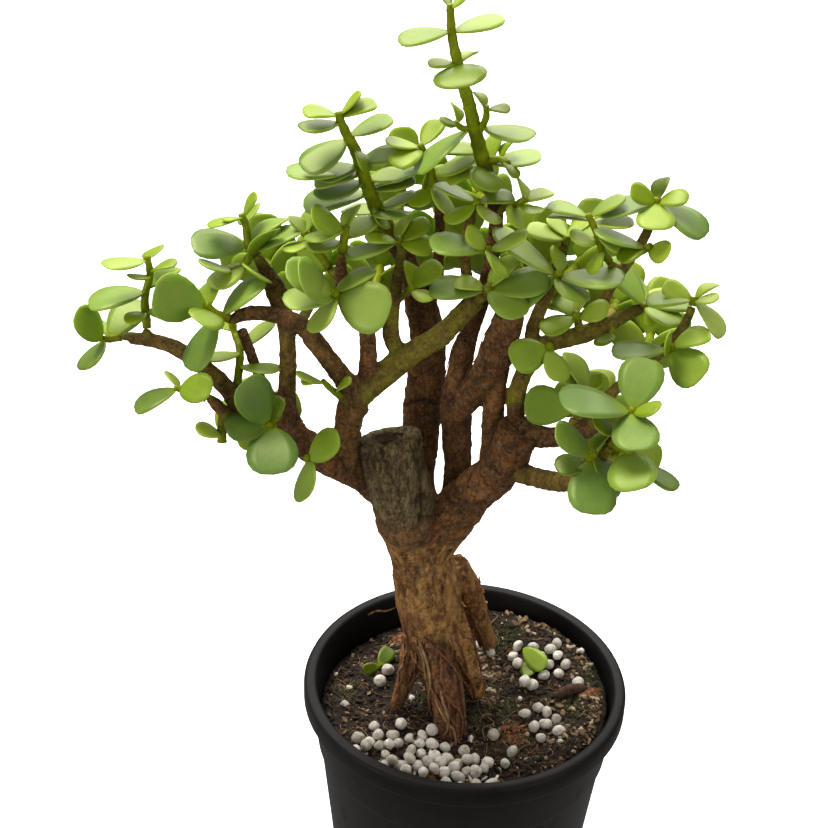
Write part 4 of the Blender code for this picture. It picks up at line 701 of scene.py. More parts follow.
def bark_finish(settings):
    """Scarred red-brown limbs, a grey stump, and a tan fissured trunk and roots, with painted shade in their
    cracks, grooves, seams and hollows.
    """
    skin = Finish("jade_bark")
    tan, grey, olive, red = (skin.painted(name) for name in ("tan", "grey", "olive", "red"))
    ring, cut, crease = skin.painted("ring"), skin.painted("cut"), skin.painted("crease")
    cloud = skin.noise(130.0, 5.0, 0.62)
    grain = skin.noise(900.0, 5.0, 0.65)
    flake = skin.noise(230.0, 6.0, 0.68, stretch=(1.0, 1.0, 0.4), warp=0.3)
    speck = skin.noise(1900.0, 3.0, 0.6)
    split = skin.noise(240.0, 5.0, 0.68, stretch=(1.0, 1.0, 0.5)).near(0.5, 0.03)
    strand = skin.noise(620.0, 4.0, 0.65, stretch=(1.0, 1.0, 0.09), warp=0.3)
    limb = skin.mix(cloud.between(0.36, 0.66), tuple(settings.limb_dark), tuple(settings.limb))
    limb = skin.mix(grain.between(0.50, 0.64) * 0.45, limb, (0.34, 0.185, 0.085))
    limb = skin.mix((1.0 - grain.between(0.34, 0.47)) * 0.6, limb, (0.040, 0.018, 0.008))
    limb = skin.mix(speck.between(0.60, 0.74) * 0.5, limb, (0.33, 0.225, 0.13))
    limb = skin.mix(split * 0.45, limb, (0.032, 0.014, 0.007))
    limb = skin.mix(ring.between(0.1, 0.6) * grain.between(0.35, 0.6) * 0.6, limb, tuple(settings.scar))
    limb = skin.mix(ring.between(0.78, 0.97) * 0.85, limb, (0.026, 0.011, 0.006))
    stump = skin.mix(cloud.between(0.35, 0.65), (0.115, 0.082, 0.034), (0.225, 0.168, 0.075))
    streak = skin.noise(900.0, 4.0, 0.62, stretch=(1.0, 1.0, 0.3))
    stump = skin.mix(streak.between(0.51, 0.62) * 0.55, stump, (0.33, 0.26, 0.125))
    stump = skin.mix((1.0 - streak.between(0.37, 0.48)) * 0.7, stump, (0.040, 0.026, 0.011))
    stump = skin.mix(speck.between(0.58, 0.75) * 0.4, stump, (0.24, 0.20, 0.12))
    stump = skin.mix(split * 0.6, stump, (0.034, 0.022, 0.010))
    trunk = skin.mix(flake.between(0.38, 0.51), tuple(settings.fissure), tuple(settings.trunk))
    trunk = skin.mix(cloud.between(0.45, 0.7) * 0.4, trunk, (0.22, 0.105, 0.036))
    chip = skin.noise(430.0, 5.0, 0.64, stretch=(1.0, 1.0, 0.6))
    trunk = skin.mix(chip.between(0.50, 0.62) * 0.6, trunk, (0.60, 0.355, 0.125))
    trunk = skin.mix((1.0 - chip.between(0.37, 0.47)) * 0.75, trunk, (0.085, 0.038, 0.013))
    fibre = skin.mix(strand.between(0.36, 0.60), (0.050, 0.022, 0.011), (0.30, 0.135, 0.060))
    fibre = skin.mix(speck.between(0.6, 0.74) * 0.35, fibre, (0.34, 0.22, 0.13))
    trunk = skin.mix(red, trunk, fibre)
    green = skin.mix(grain.between(0.3, 0.7), (0.155, 0.155, 0.007), (0.34, 0.33, 0.018))
    green = skin.mix(ring * 0.7, green, (0.15, 0.075, 0.025))
    colour = skin.mix(olive * cloud.between(0.25, 0.55), limb, green)
    colour = skin.mix(grey, colour, stump)
    colour = skin.mix(tan, colour, trunk)
    rust = skin.mix(grain.between(0.36, 0.62), (0.095, 0.030, 0.010), (0.36, 0.125, 0.036))
    colour = skin.mix(skin.painted("rust") * cloud.between(0.35, 0.6) * 0.6, colour, rust)
    # Painted shade in the cracks, grooves, seams between limbs and hollows, and the dark line at the top of
    # the tan bark
    colour = skin.mix(crease * 0.8, colour, (0.020, 0.011, 0.006))
    colour = skin.mix(cut * grain.between(0.25, 0.6), colour, (0.26, 0.20, 0.12))
    relief = flake * 0.6 * tan + chip * 0.5 + strand * red * 0.9 + grain * 0.5
    relief = relief + streak * 0.4 * grey + speck * 0.2 - split * 0.3 * (1.0 - olive)
    return skin.finish(
        Base_Color=colour, Roughness=0.72 + grain * 0.2 - olive * 0.2,
        Normal=skin.bump(relief, 0.0012, 0.85), Specular_IOR_Level=0.22)


def pot_finish(settings):
    """Satin black moulded plastic with dust and rubbed spots."""
    skin = Finish("black_pot_plastic")
    cloud = skin.noise(34.0, 4.0, 0.6)
    rub = skin.noise(240.0, 5.0, 0.7, stretch=(1.0, 1.0, 0.4))
    grain = skin.noise(5200.0, 2.0, 0.5)
    colour = skin.mix(cloud.between(0.3, 0.75), tuple(settings.plastic), (0.012, 0.011, 0.010))
    colour = skin.mix(rub.between(0.63, 0.8) * 0.22, colour, (0.055, 0.048, 0.040))
    return skin.finish(
        Base_Color=colour, Roughness=0.42 + cloud * 0.12 + rub.between(0.55, 0.8) * 0.2,
        Normal=skin.bump(grain, 0.00006, 0.6), Specular_IOR_Level=0.12)


def soil_finish(settings):
    """Dark damp potting mix with tan grains and green film."""
    skin = Finish("potting_mix")
    moss, peat = skin.painted("moss"), skin.painted("peat")
    cloud = skin.noise(70.0, 5.0, 0.65)
    grain = skin.noise(900.0, 4.0, 0.7)
    grit = skin.cells(620.0)
    fine = skin.noise(2300.0, 3.0, 0.65)
    colour = skin.mix(grain.between(0.42, 0.72), tuple(settings.damp), tuple(settings.dry))
    colour = skin.mix(cloud.between(0.45, 0.7) * 0.5, colour, (0.05, 0.03, 0.017))
    speckle = (1.0 - grit.between(0.0, 0.28)) * grain.between(0.5, 0.62) * 0.6
    colour = skin.mix(speckle, colour, (0.26, 0.18, 0.10))
    colour = skin.mix(fine.between(0.60, 0.70) * cloud.between(0.4, 0.6) * 0.8, colour, (0.45, 0.36, 0.24))
    colour = skin.mix(peat * grain.between(0.25, 0.5) * 0.9, colour, (0.30, 0.125, 0.042))
    colour = skin.mix(moss * grain.between(0.3, 0.55) * 0.8, colour, (0.040, 0.052, 0.010))
    return skin.finish(
        Base_Color=colour, Roughness=0.82 + cloud * 0.12, Normal=skin.bump(grain + grit * 0.4, 0.0011, 0.9),
        Specular_IOR_Level=0.3)


def crumb_finish():
    """Crumbs of peat, bark and grit, each in its own tone."""
    skin = Finish("soil_crumbs")
    tone = skin.painted("tone")
    grain = skin.noise(1500.0, 4.0, 0.6)
    colour = skin.mix(tone.between(0.0, 0.55), (0.008, 0.006, 0.004), (0.055, 0.030, 0.014))
    colour = skin.mix(tone.between(0.55, 0.85), colour, (0.26, 0.16, 0.082))
    colour = skin.mix(tone.between(0.85, 1.0), colour, (0.58, 0.48, 0.34))
    peat = skin.mix(tone, (0.13, 0.045, 0.016), (0.40, 0.16, 0.055))
    colour = skin.mix(skin.painted("peat"), colour, peat)
    colour = skin.mix(grain.between(0.35, 0.7) * 0.4, colour, (0.03, 0.02, 0.014))
    return skin.finish(Base_Color=colour, Roughness=0.8 + grain * 0.15, Normal=skin.bump(grain, 0.0005, 0.8),
                       Specular_IOR_Level=0.3)


def prill_finish(settings):
    """Dull chalky feed prills, each a little different, darker where damp."""
    skin = Finish("feed_prills")
    tone = skin.painted("tone")
    grain = skin.noise(1300.0, 5.0, 0.65)
    stain = skin.noise(420.0, 4.0, 0.65)
    pit = skin.noise(2400.0, 3.0, 0.6)
    colour = skin.mix(tone, tuple(settings.prill_shade), tuple(settings.prill))
    colour = skin.mix(stain.between(0.46, 0.66) * 0.6, colour, (0.27, 0.225, 0.165))
    colour = skin.mix(grain.between(0.54, 0.72) * 0.5, colour, (0.23, 0.205, 0.17))
    colour = skin.mix(pit.between(0.60, 0.70) * 0.5, colour, (0.12, 0.10, 0.08))
    return skin.finish(
        Base_Color=colour, Roughness=0.78 + grain * 0.15, Normal=skin.bump(grain + pit * 0.5, 0.0006, 0.9),
        Specular_IOR_Level=0.3)


def fibre_finish(name, dark, light):
    """Dry fibrous matter: root strands, bark chips and threads."""
    skin = Finish(name)
    streak = skin.noise(600.0, 5.0, 0.65)
    speck = skin.noise(1800.0, 3.0, 0.6)
    colour = skin.mix(streak.between(0.32, 0.66), dark, light)
    colour = skin.mix(speck.between(0.58, 0.75) * 0.5, colour, dark)
    return skin.finish(
        Base_Color=colour, Roughness=0.8 + streak * 0.12, Normal=skin.bump(streak + speck, 0.0006, 0.9),
        Specular_IOR_Level=0.3)


def moss_finish():
    """Dark and pale green tufts."""
    skin = Finish("moss")
    shade = skin.painted("tone") + skin.noise(900.0) * 0.5
    colour = skin.mix(shade.between(0.2, 1.2), (0.03, 0.042, 0.01), (0.13, 0.15, 0.035))
    return skin.finish(Base_Color=colour, Roughness=0.8 + shade * 0.1)


def floor_finish(settings):
    """Pale floor with a faint glow of its own, so that it stays as pale as the surround."""
    skin = Finish("studio_floor")
    colour = skin.mix(skin.noise(3.0, 2.0, 0.5), tuple(settings.floor), (0.96, 0.96, 0.955))
    return skin.finish(
        Base_Color=colour, Roughness=0.85, Emission_Color=(1.0, 1.0, 1.0), Emission_Strength=FLOOR_GLOW)


def only(*objects):
    """Makes these objects the only ones selected, and the first one active."""
    bpy.ops.object.select_all(action="DESELECT")
    for obj in objects:
        obj.select_set(True)
    bpy.context.view_layer.objects.active = objects[0]


def add_object(name, data):
    """A new object in the scene, with its data."""
    obj = bpy.data.objects.new(name, data)
    bpy.context.scene.collection.objects.link(obj)
    return obj


def settled(obj):
    """Moves an object's place into its mesh, so that the object sits at the origin."""
    obj.data.transform(obj.matrix_basis)
    obj.matrix_basis = Matrix.Identity(4)


def apply_modifier(obj, kind, **settings):
    """Adds a modifier of a kind with its settings, and applies it."""
    only(obj)
    modifier = obj.modifiers.new(kind.lower(), kind)
    for key, value in settings.items():
        setattr(modifier, key, value)
    bpy.ops.object.modifier_apply(modifier=modifier.name)


def corners_of(mesh):
    """The mesh's points as rows of three numbers, in metres."""
    found = np.empty(len(mesh.vertices) * 3)
    mesh.vertices.foreach_get("co", found)
    return found.reshape(-1, 3)


def normals_of(mesh):
    """The normals of the mesh's points as rows of three numbers."""
    found = np.empty(len(mesh.vertices) * 3)
    mesh.vertices.foreach_get("normal", found)
    return found.reshape(-1, 3)


def edges_of(mesh):
    """The mesh's edges as rows of two point numbers."""
    found = np.empty(len(mesh.edges) * 2, int)
    mesh.edges.foreach_get("vertices", found)
    return found.reshape(-1, 2)


def put_corners(mesh, corners):
    """Moves the mesh's points to new places in metres."""
    mesh.vertices.foreach_set("co", np.asarray(corners, float).ravel())
    mesh.update()


def paint(mesh, **layers):
    """Writes a number for each point of the mesh, under each name."""
    for name, values in layers.items():
        layer = mesh.attributes.new(name, "FLOAT", "POINT")
        layer.data.foreach_set("value", np.asarray(values, np.float32))


def shape_of(obj):
    """An object's points and faces, to be copied."""
    return corners_of(obj.data), [tuple(face.vertices) for face in obj.data.polygons]


def joined(name, parts, smooth=True):
    """One object from several shapes: each is its points, its faces and its numbers by name."""
    corners, faces, start = [], [], 0
    for points, sides, _ in parts:
        corners.append(points)
        faces += [tuple(index + start for index in side) for side in sides]
        start += len(points)
    mesh = bpy.data.meshes.new(name)
    mesh.from_pydata(np.concatenate(corners).tolist(), [], faces)
    names = sorted({key for part in parts for key in part[2]})
    layers = {key: np.concatenate([np.broadcast_to(part[2].get(key, 0.0), len(part[0])) for part in parts])
              for key in names}
    paint(mesh, **layers)
    mesh.polygons.foreach_set("use_smooth", [smooth] * len(mesh.polygons))
    return add_object(name, mesh)


def placed(shape, frame, **layers):
    """A copy of a shape in a frame, with its numbers."""
    points, faces = shape
    turn = np.array(frame.to_3x3())
    return points @ turn.T + np.array(frame.to_translation()), faces, layers


def taken(obj, **layers):
    """An object's shape with its numbers. The object itself is removed."""
    shape = shape_of(obj)
    bpy.data.objects.remove(obj)
    return (*shape, layers)


def cut_out(obj, cutter):
    """Cuts one object out of another, and removes it."""
    apply_modifier(obj, "BOOLEAN", operation="DIFFERENCE", object=cutter, solver="EXACT")
    bpy.data.objects.remove(cutter)


def sized(long, wide, thick):
    """A scale in mm along each axis."""
    return Matrix.Diagonal((long * MM, wide * MM, thick * MM, 1))


def show(obj, finish, slot, *nodes):
    """Gives a piece its finish, lets it ride on the part and stand for its nodes. Its slot is not used."""
    obj.data.materials.clear()
    obj.data.materials.append(finish)
    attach(obj, "root")
    if nodes:
        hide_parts(*nodes)


def smooth_line(points, radii, step=PATH_STEP):
    """A line through the points in even steps in mm, rounded at its bends, with its radii."""
    line = [2 * points[0] - points[1], *points, 2 * points[-1] - points[-2]]
    sizes = [radii[0], *radii, radii[-1]]
    found, widths = [], []
    for index in range(1, len(line) - 2):
        before, start, end, after = line[index - 1:index + 3]
        count = max(2, int((end - start).length / (step * MM)))
        for part in range(count):
            t = part / count
            pull = (end - before) * 0.5
            push = (after - start) * 0.5
            found.append((2 * t**3 - 3 * t**2 + 1) * start + (t**3 - 2 * t**2 + t) * pull
                         + (3 * t**2 - 2 * t**3) * end + (t**3 - t**2) * push)
            widths.append(sizes[index] + (sizes[index + 1] - sizes[index]) * t * t * (3 - 2 * t))
    return found + [points[-1]], widths + [radii[-1]]


def crackle(place, size, seed=0.0):
    """Rough layered noise from about -1 to 1 at a place in metres, for features of a size in mm."""
    return noise.fractal(Vector(place) / (size * MM) + Vector((seed, -seed, 2 * seed)), 0.6, 2.1, 4)


def evaluated_mesh(obj):
    """A new mesh of an object as it looks with its curve's bevel."""
    bpy.context.view_layer.update()
    graph = bpy.context.evaluated_depsgraph_get()
    return bpy.data.meshes.new_from_object(obj.evaluated_get(graph), depsgraph=graph)


def weld(mesh):
    """Joins a curve's loose caps to its sides."""
    shape = bmesh.new()
    shape.from_mesh(mesh)
    bmesh.ops.remove_doubles(shape, verts=shape.verts, dist=0.01 * MM)
    shape.to_mesh(mesh)
    shape.free()
    return mesh


def tube(name, points, radii, round_level):
    """A closed tube through world points, with a radius in mm at each, as a mesh object."""
    curve = bpy.data.curves.new(name, "CURVE")
    curve.dimensions = "3D"
    curve.bevel_depth = MM
    curve.bevel_resolution = round_level
    curve.use_fill_caps = True
    line = curve.splines.new("POLY")
    line.points.add(len(points) - 1)
    for knot, point, radius in zip(line.points, points, radii):
        knot.co = (*point, 1.0)
        knot.radius = radius
    guide = add_object(name + "_guide", curve)
    mesh = weld(evaluated_mesh(guide))
    bpy.data.objects.remove(guide)
    bpy.data.curves.remove(curve)
    return add_object(name, mesh)


def collar_foot():
    """The height in mm of the foot of the pot's collar."""
    return POT_HEIGHT - COLLAR_DROP


def inner_radius(height):
    """The radius in mm of the pot's inner wall at a height in mm."""
    foot = collar_foot() + 1.0
    if height >= foot:
        rise = (height - foot) / (POT_HEIGHT - RIM_BAND - foot)
        return COLLAR_FOOT_RADIUS - WALL + rise * (COLLAR_RADIUS - COLLAR_FOOT_RADIUS)
    return BASE_RADIUS - WALL + (BODY_TOP_RADIUS - BASE_RADIUS) * height / collar_foot()


def wall_spot(across, down):
    """The place seen at a picture point on the pot's inner wall, or at the soil's level below it."""
    height = POT_HEIGHT
    place = ground_spot(across, down, height)
    while height > SOIL_TOP and math.hypot(place.x, place.y) / MM < inner_radius(height) - 0.5:
        height -= 0.25
        place = ground_spot(across, down, height)
    return place


def soil_rise(x, y):
    """How far the soil's surface stands above its level, in mm."""
    waves = 0.9 * math.sin(0.13 * x + 0.6) * math.cos(0.11 * y - 0.4)
    waves += 0.5 * math.sin(0.29 * x - 0.21 * y)
    mound = 1.6 * math.exp(-((x + 8.0) ** 2 + y**2) / 320.0)
    return waves + mound


# Pot

def pot_profile():
    """The half section of the pot as (radius, height) in mm, from the inner floor round to the outer one."""
    band_foot = POT_HEIGHT - RIM_BAND
    foot = collar_foot()
    ledge = inner_radius(foot + 1.0)
    return (
        (0.0, FLOOR), (inner_radius(FLOOR), FLOOR), (inner_radius(foot), foot), (ledge, foot + 0.8),
        (ledge + 0.1, foot + 1.6), (inner_radius(band_foot) - 0.2, band_foot - 1.6),
        (inner_radius(band_foot), band_foot), (COLLAR_RADIUS - 1.5, POT_HEIGHT - 1.0),
        (COLLAR_RADIUS - 1.2, POT_HEIGHT - 0.4), (COLLAR_RADIUS - 0.6, POT_HEIGHT),
        (RIM_RADIUS - 1.2, POT_HEIGHT), (RIM_RADIUS - 0.4, POT_HEIGHT - 0.45),
        (RIM_RADIUS, POT_HEIGHT - 1.4), (RIM_RADIUS, band_foot + 1.0), (RIM_RADIUS - 0.3, band_foot + 0.3),
        (RIM_RADIUS - 0.9, band_foot), (COLLAR_RADIUS + 0.2, band_foot),
        (COLLAR_RADIUS - 0.1, band_foot - 0.3),
        (COLLAR_FOOT_RADIUS + 0.1, foot + 1.4), (COLLAR_FOOT_RADIUS - 0.1, foot + 0.8),
        (BODY_TOP_RADIUS + 0.1, foot + 0.1), (BODY_TOP_RADIUS - 0.1, foot - 0.5), (BASE_RADIUS + 0.05, 1.8),
        (BASE_RADIUS - 0.2, 0.8), (BASE_RADIUS - 1.0, 0.0), (0.0, 0.0),
    )


def spun(name, profile, steps):
    """A closed shell from a half section of (radius, height) in mm, spun about the pot's axis."""
    mesh = bpy.data.meshes.new(name)
    mesh.from_pydata([(radius * MM, 0.0, height * MM) for radius, height in profile],
                     [(index, index + 1) for index in range(len(profile) - 1)], [])
    obj = add_object(name, mesh)
    only(obj)
    bpy.ops.object.mode_set(mode="EDIT")
    bpy.ops.mesh.select_all(action="SELECT")
    bpy.ops.mesh.spin(steps=steps, angle=math.tau, center=(0, 0, 0), axis=(0, 0, 1))
    bpy.ops.mesh.select_all(action="SELECT")
    bpy.ops.mesh.remove_doubles(threshold=0.005 * MM)
    bpy.ops.mesh.normals_make_consistent(inside=False)
    bpy.ops.object.mode_set(mode="OBJECT")
    return obj


def build_pot(settings):
    """The pot's spun shell with its drain holes."""
    pot = spun("nursery_pot", pot_profile(), POT_SEGMENTS)
    for index in range(DRAIN_COUNT):
        turn = math.tau * (index + 0.5) / DRAIN_COUNT
        x, y = DRAIN_CIRCLE * MM * math.cos(turn), DRAIN_CIRCLE * MM * math.sin(turn)
        bpy.ops.mesh.primitive_cylinder_add(
            vertices=32, radius=DRAIN_RADIUS * MM, depth=4 * FLOOR * MM, location=(x, y, FLOOR * MM / 2))
        cut_out(pot, bpy.context.object)
    only(pot)
    bpy.ops.object.shade_smooth_by_angle(angle=math.radians(38))
    show(pot, pot_finish(settings), "pot", "pot")


# Soil

def soil_bank(x, y):
    """How far the soil is heaped up in mm against the wall at the right and behind."""
    turn = (math.degrees(math.atan2(y, x)) - BANK_MIDDLE + 180.0) % 360.0 - 180.0
    side = max(0.0, 1.0 - (turn / BANK_REACH) ** 2)
    out = min(1.0, max(0.0, (math.hypot(x, y) / SOIL_EDGE - 0.5) / 0.45))
    return BANK_HEIGHT * math.sqrt(side) * out * out * (3.0 - 2.0 * out)


def soil_height(x, y):
    """The height in mm of the finished soil at a place in mm, with its mound, lumps and fall to the wall."""
    place = (x * MM, y * MM, 0.0)
    out = math.hypot(x, y) / SOIL_EDGE
    height = SOIL_TOP + soil_rise(x, y) * (1.0 if out < 0.8 else 0.5) + soil_bank(x, y)
    height += 0.7 * crackle(place, 7.0, 3.1) + 0.42 * crackle(place, 1.9, 8.3)
    height -= 1.6 * max(0.0, (out - 0.93) / 0.07)
    return height


def soil_spot(across, down, lift=0.0):
    """The place in mm where a point of the picture meets the soil, or a level a lift above it."""
    height = SOIL_TOP + lift
    for _ in range(12):
        place = ground_spot(across, down, height) / MM
        far = math.hypot(place.x, place.y)
        inside = min(1.0, SOIL_SPREAD / max(far, 0.1))
        height += 0.6 * (soil_height(place.x * inside, place.y * inside) + lift - height)
    return Vector((place.x * inside, place.y * inside, height))


def patches(corners, rows):
    """For each corner how far it lies inside the patches, from 0 to 1."""
    found = np.zeros(len(corners))
    for across, down, reach in rows:
        middle = soil_spot(across, down) * MM
        away = np.hypot(corners[:, 0] - middle.x, corners[:, 1] - middle.y) / MM
        found = np.maximum(found, np.clip(1.3 - away / reach, 0.0, 1.0))
    return found


def soil_block():
    """A round block of soil with a fine flat grid on top."""
    side = 2 * SOIL_EDGE + 2 * SOIL_STEP
    count = int(side / SOIL_STEP)
    bpy.ops.mesh.primitive_grid_add(x_subdivisions=count, y_subdivisions=count, size=side * MM,
                                    location=(0, 0, SOIL_TOP * MM))
    soil = bpy.context.object
    soil.name = "potting_mix"
    settled(soil)
    only(soil)
    bpy.ops.object.mode_set(mode="EDIT")
    bpy.ops.mesh.select_all(action="DESELECT")
    shape = bmesh.from_edit_mesh(soil.data)
    for vertex in shape.verts:
        vertex.select = math.hypot(vertex.co.x, vertex.co.y) > SOIL_EDGE * MM
    bmesh.update_edit_mesh(soil.data)
    bpy.ops.mesh.select_mode(type="VERT")
    bpy.ops.mesh.delete(type="VERT")
    bpy.ops.mesh.select_all(action="SELECT")
    bpy.ops.mesh.region_to_loop()
    bpy.ops.mesh.extrude_region_move(TRANSFORM_OT_translate={"value": (0, 0, (SOIL_FOOT - SOIL_TOP) * MM)})
    bpy.ops.mesh.edge_face_add()
    bpy.ops.mesh.select_all(action="SELECT")
    bpy.ops.mesh.normals_make_consistent(inside=False)
    bpy.ops.object.mode_set(mode="OBJECT")
    return soil


def build_soil(settings):
    """The soil, rounded at its rim, narrower at its foot and uneven on top."""
    soil = soil_block()
    corners = corners_of(soil.data)
    out = np.hypot(corners[:, 0], corners[:, 1]) / MM
    rim = out > SOIL_EDGE - SOIL_STEP
    corners[rim, :2] *= (SOIL_EDGE / out[rim])[:, None]
    low = corners[:, 2] < (SOIL_TOP - 1.0) * MM
    corners[low, :2] *= (inner_radius(SOIL_FOOT) - 0.4) / SOIL_EDGE
    for index in np.flatnonzero(~low):
        x, y = corners[index, :2] / MM
        corners[index, 2] = soil_height(x, y) * MM
    put_corners(soil.data, corners)
    paint(soil.data, moss=patches(corners, MOSS_PATCHES), peat=patches(corners, PEAT_PATCHES))
    soil.data.polygons.foreach_set("use_smooth", [True] * len(soil.data.polygons))
    show(soil, soil_finish(settings), "soil", "soil")


def grain_shape(subdivisions):
    """The points and faces of a unit ball."""
    bpy.ops.mesh.primitive_ico_sphere_add(subdivisions=subdivisions, radius=1.0)
    return taken(bpy.context.object)[:2]


def lumpy(shape, draw, roughness):
    """A rough copy of a unit ball."""
    points, faces = shape
    seed = draw.uniform(0, 90)
    swell = [1 + roughness * noise.noise(Vector(point) * 1.1 + Vector((seed, 0, seed))) for point in points]
    return points * np.array(swell)[:, None], faces


def any_turn(draw):
    """A turn by a drawn angle about a drawn axis."""
    angle = draw.uniform(0, math.tau)
    return Matrix.Rotation(angle, 4, Vector([draw.uniform(-1, 1) for _ in range(3)]).normalized())


def turned(draw, axis, most):
    """A drawn turn about one axis, by up to an angle on both sides."""
    return Matrix.Rotation(draw.uniform(-most, most), 4, axis)


def on_soil(draw):
    """A drawn place on the soil, in mm."""
    while True:
        x, y = draw.uniform(-SOIL_SPREAD, SOIL_SPREAD), draw.uniform(-SOIL_SPREAD, SOIL_SPREAD)
        if math.hypot(x, y) < SOIL_SPREAD:
            return x, y


def by_patch(draw, rows, spread):
    """A drawn place about one of the patches, in mm, by a share of its reach."""
    across, down, reach = draw.choice(rows)
    middle = soil_spot(across, down)
    return middle.x + draw.gauss(0, reach * spread), middle.y + draw.gauss(0, reach * spread)


def resting(x, y, lift):
    """A move to a place in mm on the soil, or above it by a lift."""
    return Matrix.Translation(Vector((x, y, soil_height(x, y) + lift)) * MM)


def build_crumbs():
    """Peat crumbs, bark bits and grit that lie on the soil, some of them in pale and in peaty patches."""
    draw = random.Random(CRUMB_SEED)
    kinds = [lumpy(grain_shape(1), draw, 0.9) for _ in range(CRUMB_KINDS)]
    parts = []
    for index in range(CRUMBS):
        x, y = on_soil(draw)
        tone, peat = draw.random() ** 1.9, 0.0
        size = draw.choice(CRUMB_SIZES)
        if index < CRUMBS // 6:
            x, y = by_patch(draw, PALE_PATCHES, 0.5)
            tone = draw.uniform(0.55, 1.0)
        elif index < CRUMBS // 4:
            x, y = by_patch(draw, PEAT_PATCHES, 0.4)
            peat = 1.0
        if math.hypot(x, y) > SOIL_SPREAD:
            continue
        long = size * draw.uniform(1.0, 2.4)
        place = resting(x, y, 0.35 * size)
        frame = (place @ Matrix.Rotation(draw.uniform(0, math.tau), 4, "Z") @ turned(draw, "X", 0.5)
                 @ sized(long, size, size * 0.7))
        parts.append(placed(draw.choice(kinds), frame, tone=tone, peat=peat))
    show(joined("soil_crumbs", parts, smooth=False), crumb_finish(), "soil")


def perlite_crumbs():
    """White crumbs of perlite, and shards of broken prills."""
    draw = random.Random(LITTER_SEED)
    parts = []
    for across, down in PERLITE:
        x, y, _ = soil_spot(across, down)
        size = draw.uniform(0.8, 1.5)
        frame = resting(x, y, 0.5 * size) @ any_turn(draw) @ sized(size, size * 0.8, size * 0.7)
        parts.append(placed(lumpy(grain_shape(2), draw, 0.7), frame, tone=draw.uniform(0.8, 1.0)))
    for across, down in PRILL_SHARDS:
        x, y, _ = soil_spot(across, down)
        long, wide = draw.uniform(0.9, 1.9), draw.uniform(0.35, 0.7)
        frame = resting(x, y, draw.uniform(0.4, 1.6)) @ any_turn(draw) @ sized(long, wide, wide * 0.6)
        parts.append(placed(lumpy(grain_shape(2), draw, 0.8), frame, tone=draw.uniform(0.9, 1.0)))
    return joined("perlite_crumbs", parts)


def prill_places():
    """The group of each prill, and the middles of all in mm, pushed apart in rounds."""
    groups = {**PRILLS, "loose": LOOSE_PRILLS}
    names, places = [], []
    for name, points in groups.items():
        for across, down in points:
            place = soil_spot(across, down, PRILL_RADIUS)
            names.append(name)
            places.append([place.x, place.y])
    places = np.array(places)
    for _ in range(PRILL_ROUNDS):
        apart = places[:, None] - places[None]
        away = np.linalg.norm(apart, axis=2)
        short = np.clip(PRILL_SPACING * PRILL_RADIUS - away, 0.0, None)
        np.fill_diagonal(short, 0.0)
        push = apart / np.maximum(away, 0.01)[..., None] * short[..., None] * 0.5
        places += push.sum(axis=1) * 0.6
    return names, places


def build_prills(settings):
    """The prills, one piece for each group. One that meets another lies on top of it."""
    draw = random.Random(LITTER_SEED)
    ball = grain_shape(3)
    finish = prill_finish(settings)
    groups, low = {}, []
    for name, (x, y) in zip(*prill_places()):
        size = PRILL_RADIUS * draw.uniform(0.84, 1.08)
        lift = size * 0.8
        under = [math.hypot(x - a, y - b) for a, b in low]
        if under and min(under) < 1.9 * PRILL_RADIUS:
            lift += math.sqrt(max(0.0, (1.95 * PRILL_RADIUS) ** 2 - min(under) ** 2))
        else:
            low.append((x, y))
        frame = (resting(x, y, lift) @ any_turn(draw)
                 @ sized(size * draw.uniform(1.0, 1.3), size * draw.uniform(0.84, 1.0), size))
        groups.setdefault(name, []).append(placed(lumpy(ball, draw, 0.2), frame, tone=draw.random()))
    for name, parts in groups.items():
        nodes = (name,) if name in PRILLS else ()
        show(joined("feed_" + name, parts), finish, "prill", *nodes)
    show(perlite_crumbs(), finish, "prill")


def build_bark_chip():
    """The chip of bark that lies on the soil."""
    line = []
    for (across, down), radius in zip(BARK_CHIP, BARK_CHIP_RADII):
        x, y, _ = soil_spot(across, down, 1.4)
        line.append(Vector((x, y, soil_height(x, y) + radius * 0.8 + CHIP_LIFT)) * MM)
    chip = tube("bark_chip", *smooth_line(line, list(BARK_CHIP_RADII), 0.5), 4)
    corners = corners_of(chip.data)
    rough = [0.35 * MM * crackle(corner, 1.2) for corner in corners]
    put_corners(chip.data, corners + np.outer(rough, (0, 0, 1)))
    show(chip, fibre_finish("chip_bark", (0.022, 0.013, 0.009), (0.11, 0.058, 0.034)), "bark", "bark_stick")


def dry_thread(draw):
    """A drawn wandering thread on the soil as points and radii, cut short at the soil's edge."""
    x, y = on_soil(draw)
    heading, length = draw.uniform(0, math.tau), draw.uniform(3.0, 11.0)
    points = []
    for step in range(FIBRE_STEPS + 1):
        far = length * step / FIBRE_STEPS
        px, py = x + math.cos(heading) * far, y + math.sin(heading) * far
        if math.hypot(px, py) > SOIL_SPREAD:
            break
        points.append(Vector((px, py, soil_height(px, py) + 0.15 + draw.uniform(0, 0.7))) * MM)
        heading += draw.uniform(-0.5, 0.5)
    thin = draw.uniform(0.06, 0.18) if len(points) > 2 else 0.0
    return points, [thin] * len(points)


def build_fibres(draw):
    """Dry threads on the soil, and a dry root on the pot's inner wall."""
    threads = []
    for _ in range(FIBRES):
        line = dry_thread(draw)
        if len(line[0]) > 2:
            threads.append(taken(tube("thread", *smooth_line(*line, 1.0), 0)))
    wall_root = smooth_line([wall_spot(*point) for point in WALL_ROOT], list(WALL_ROOT_RADII), 0.8)
    threads.append(taken(tube("dry_root", *wall_root, 1)))
    show(joined("dry_fibres", threads), fibre_finish("dry_fibre", (0.12, 0.06, 0.028), (0.45, 0.27, 0.13)),
         "soil")


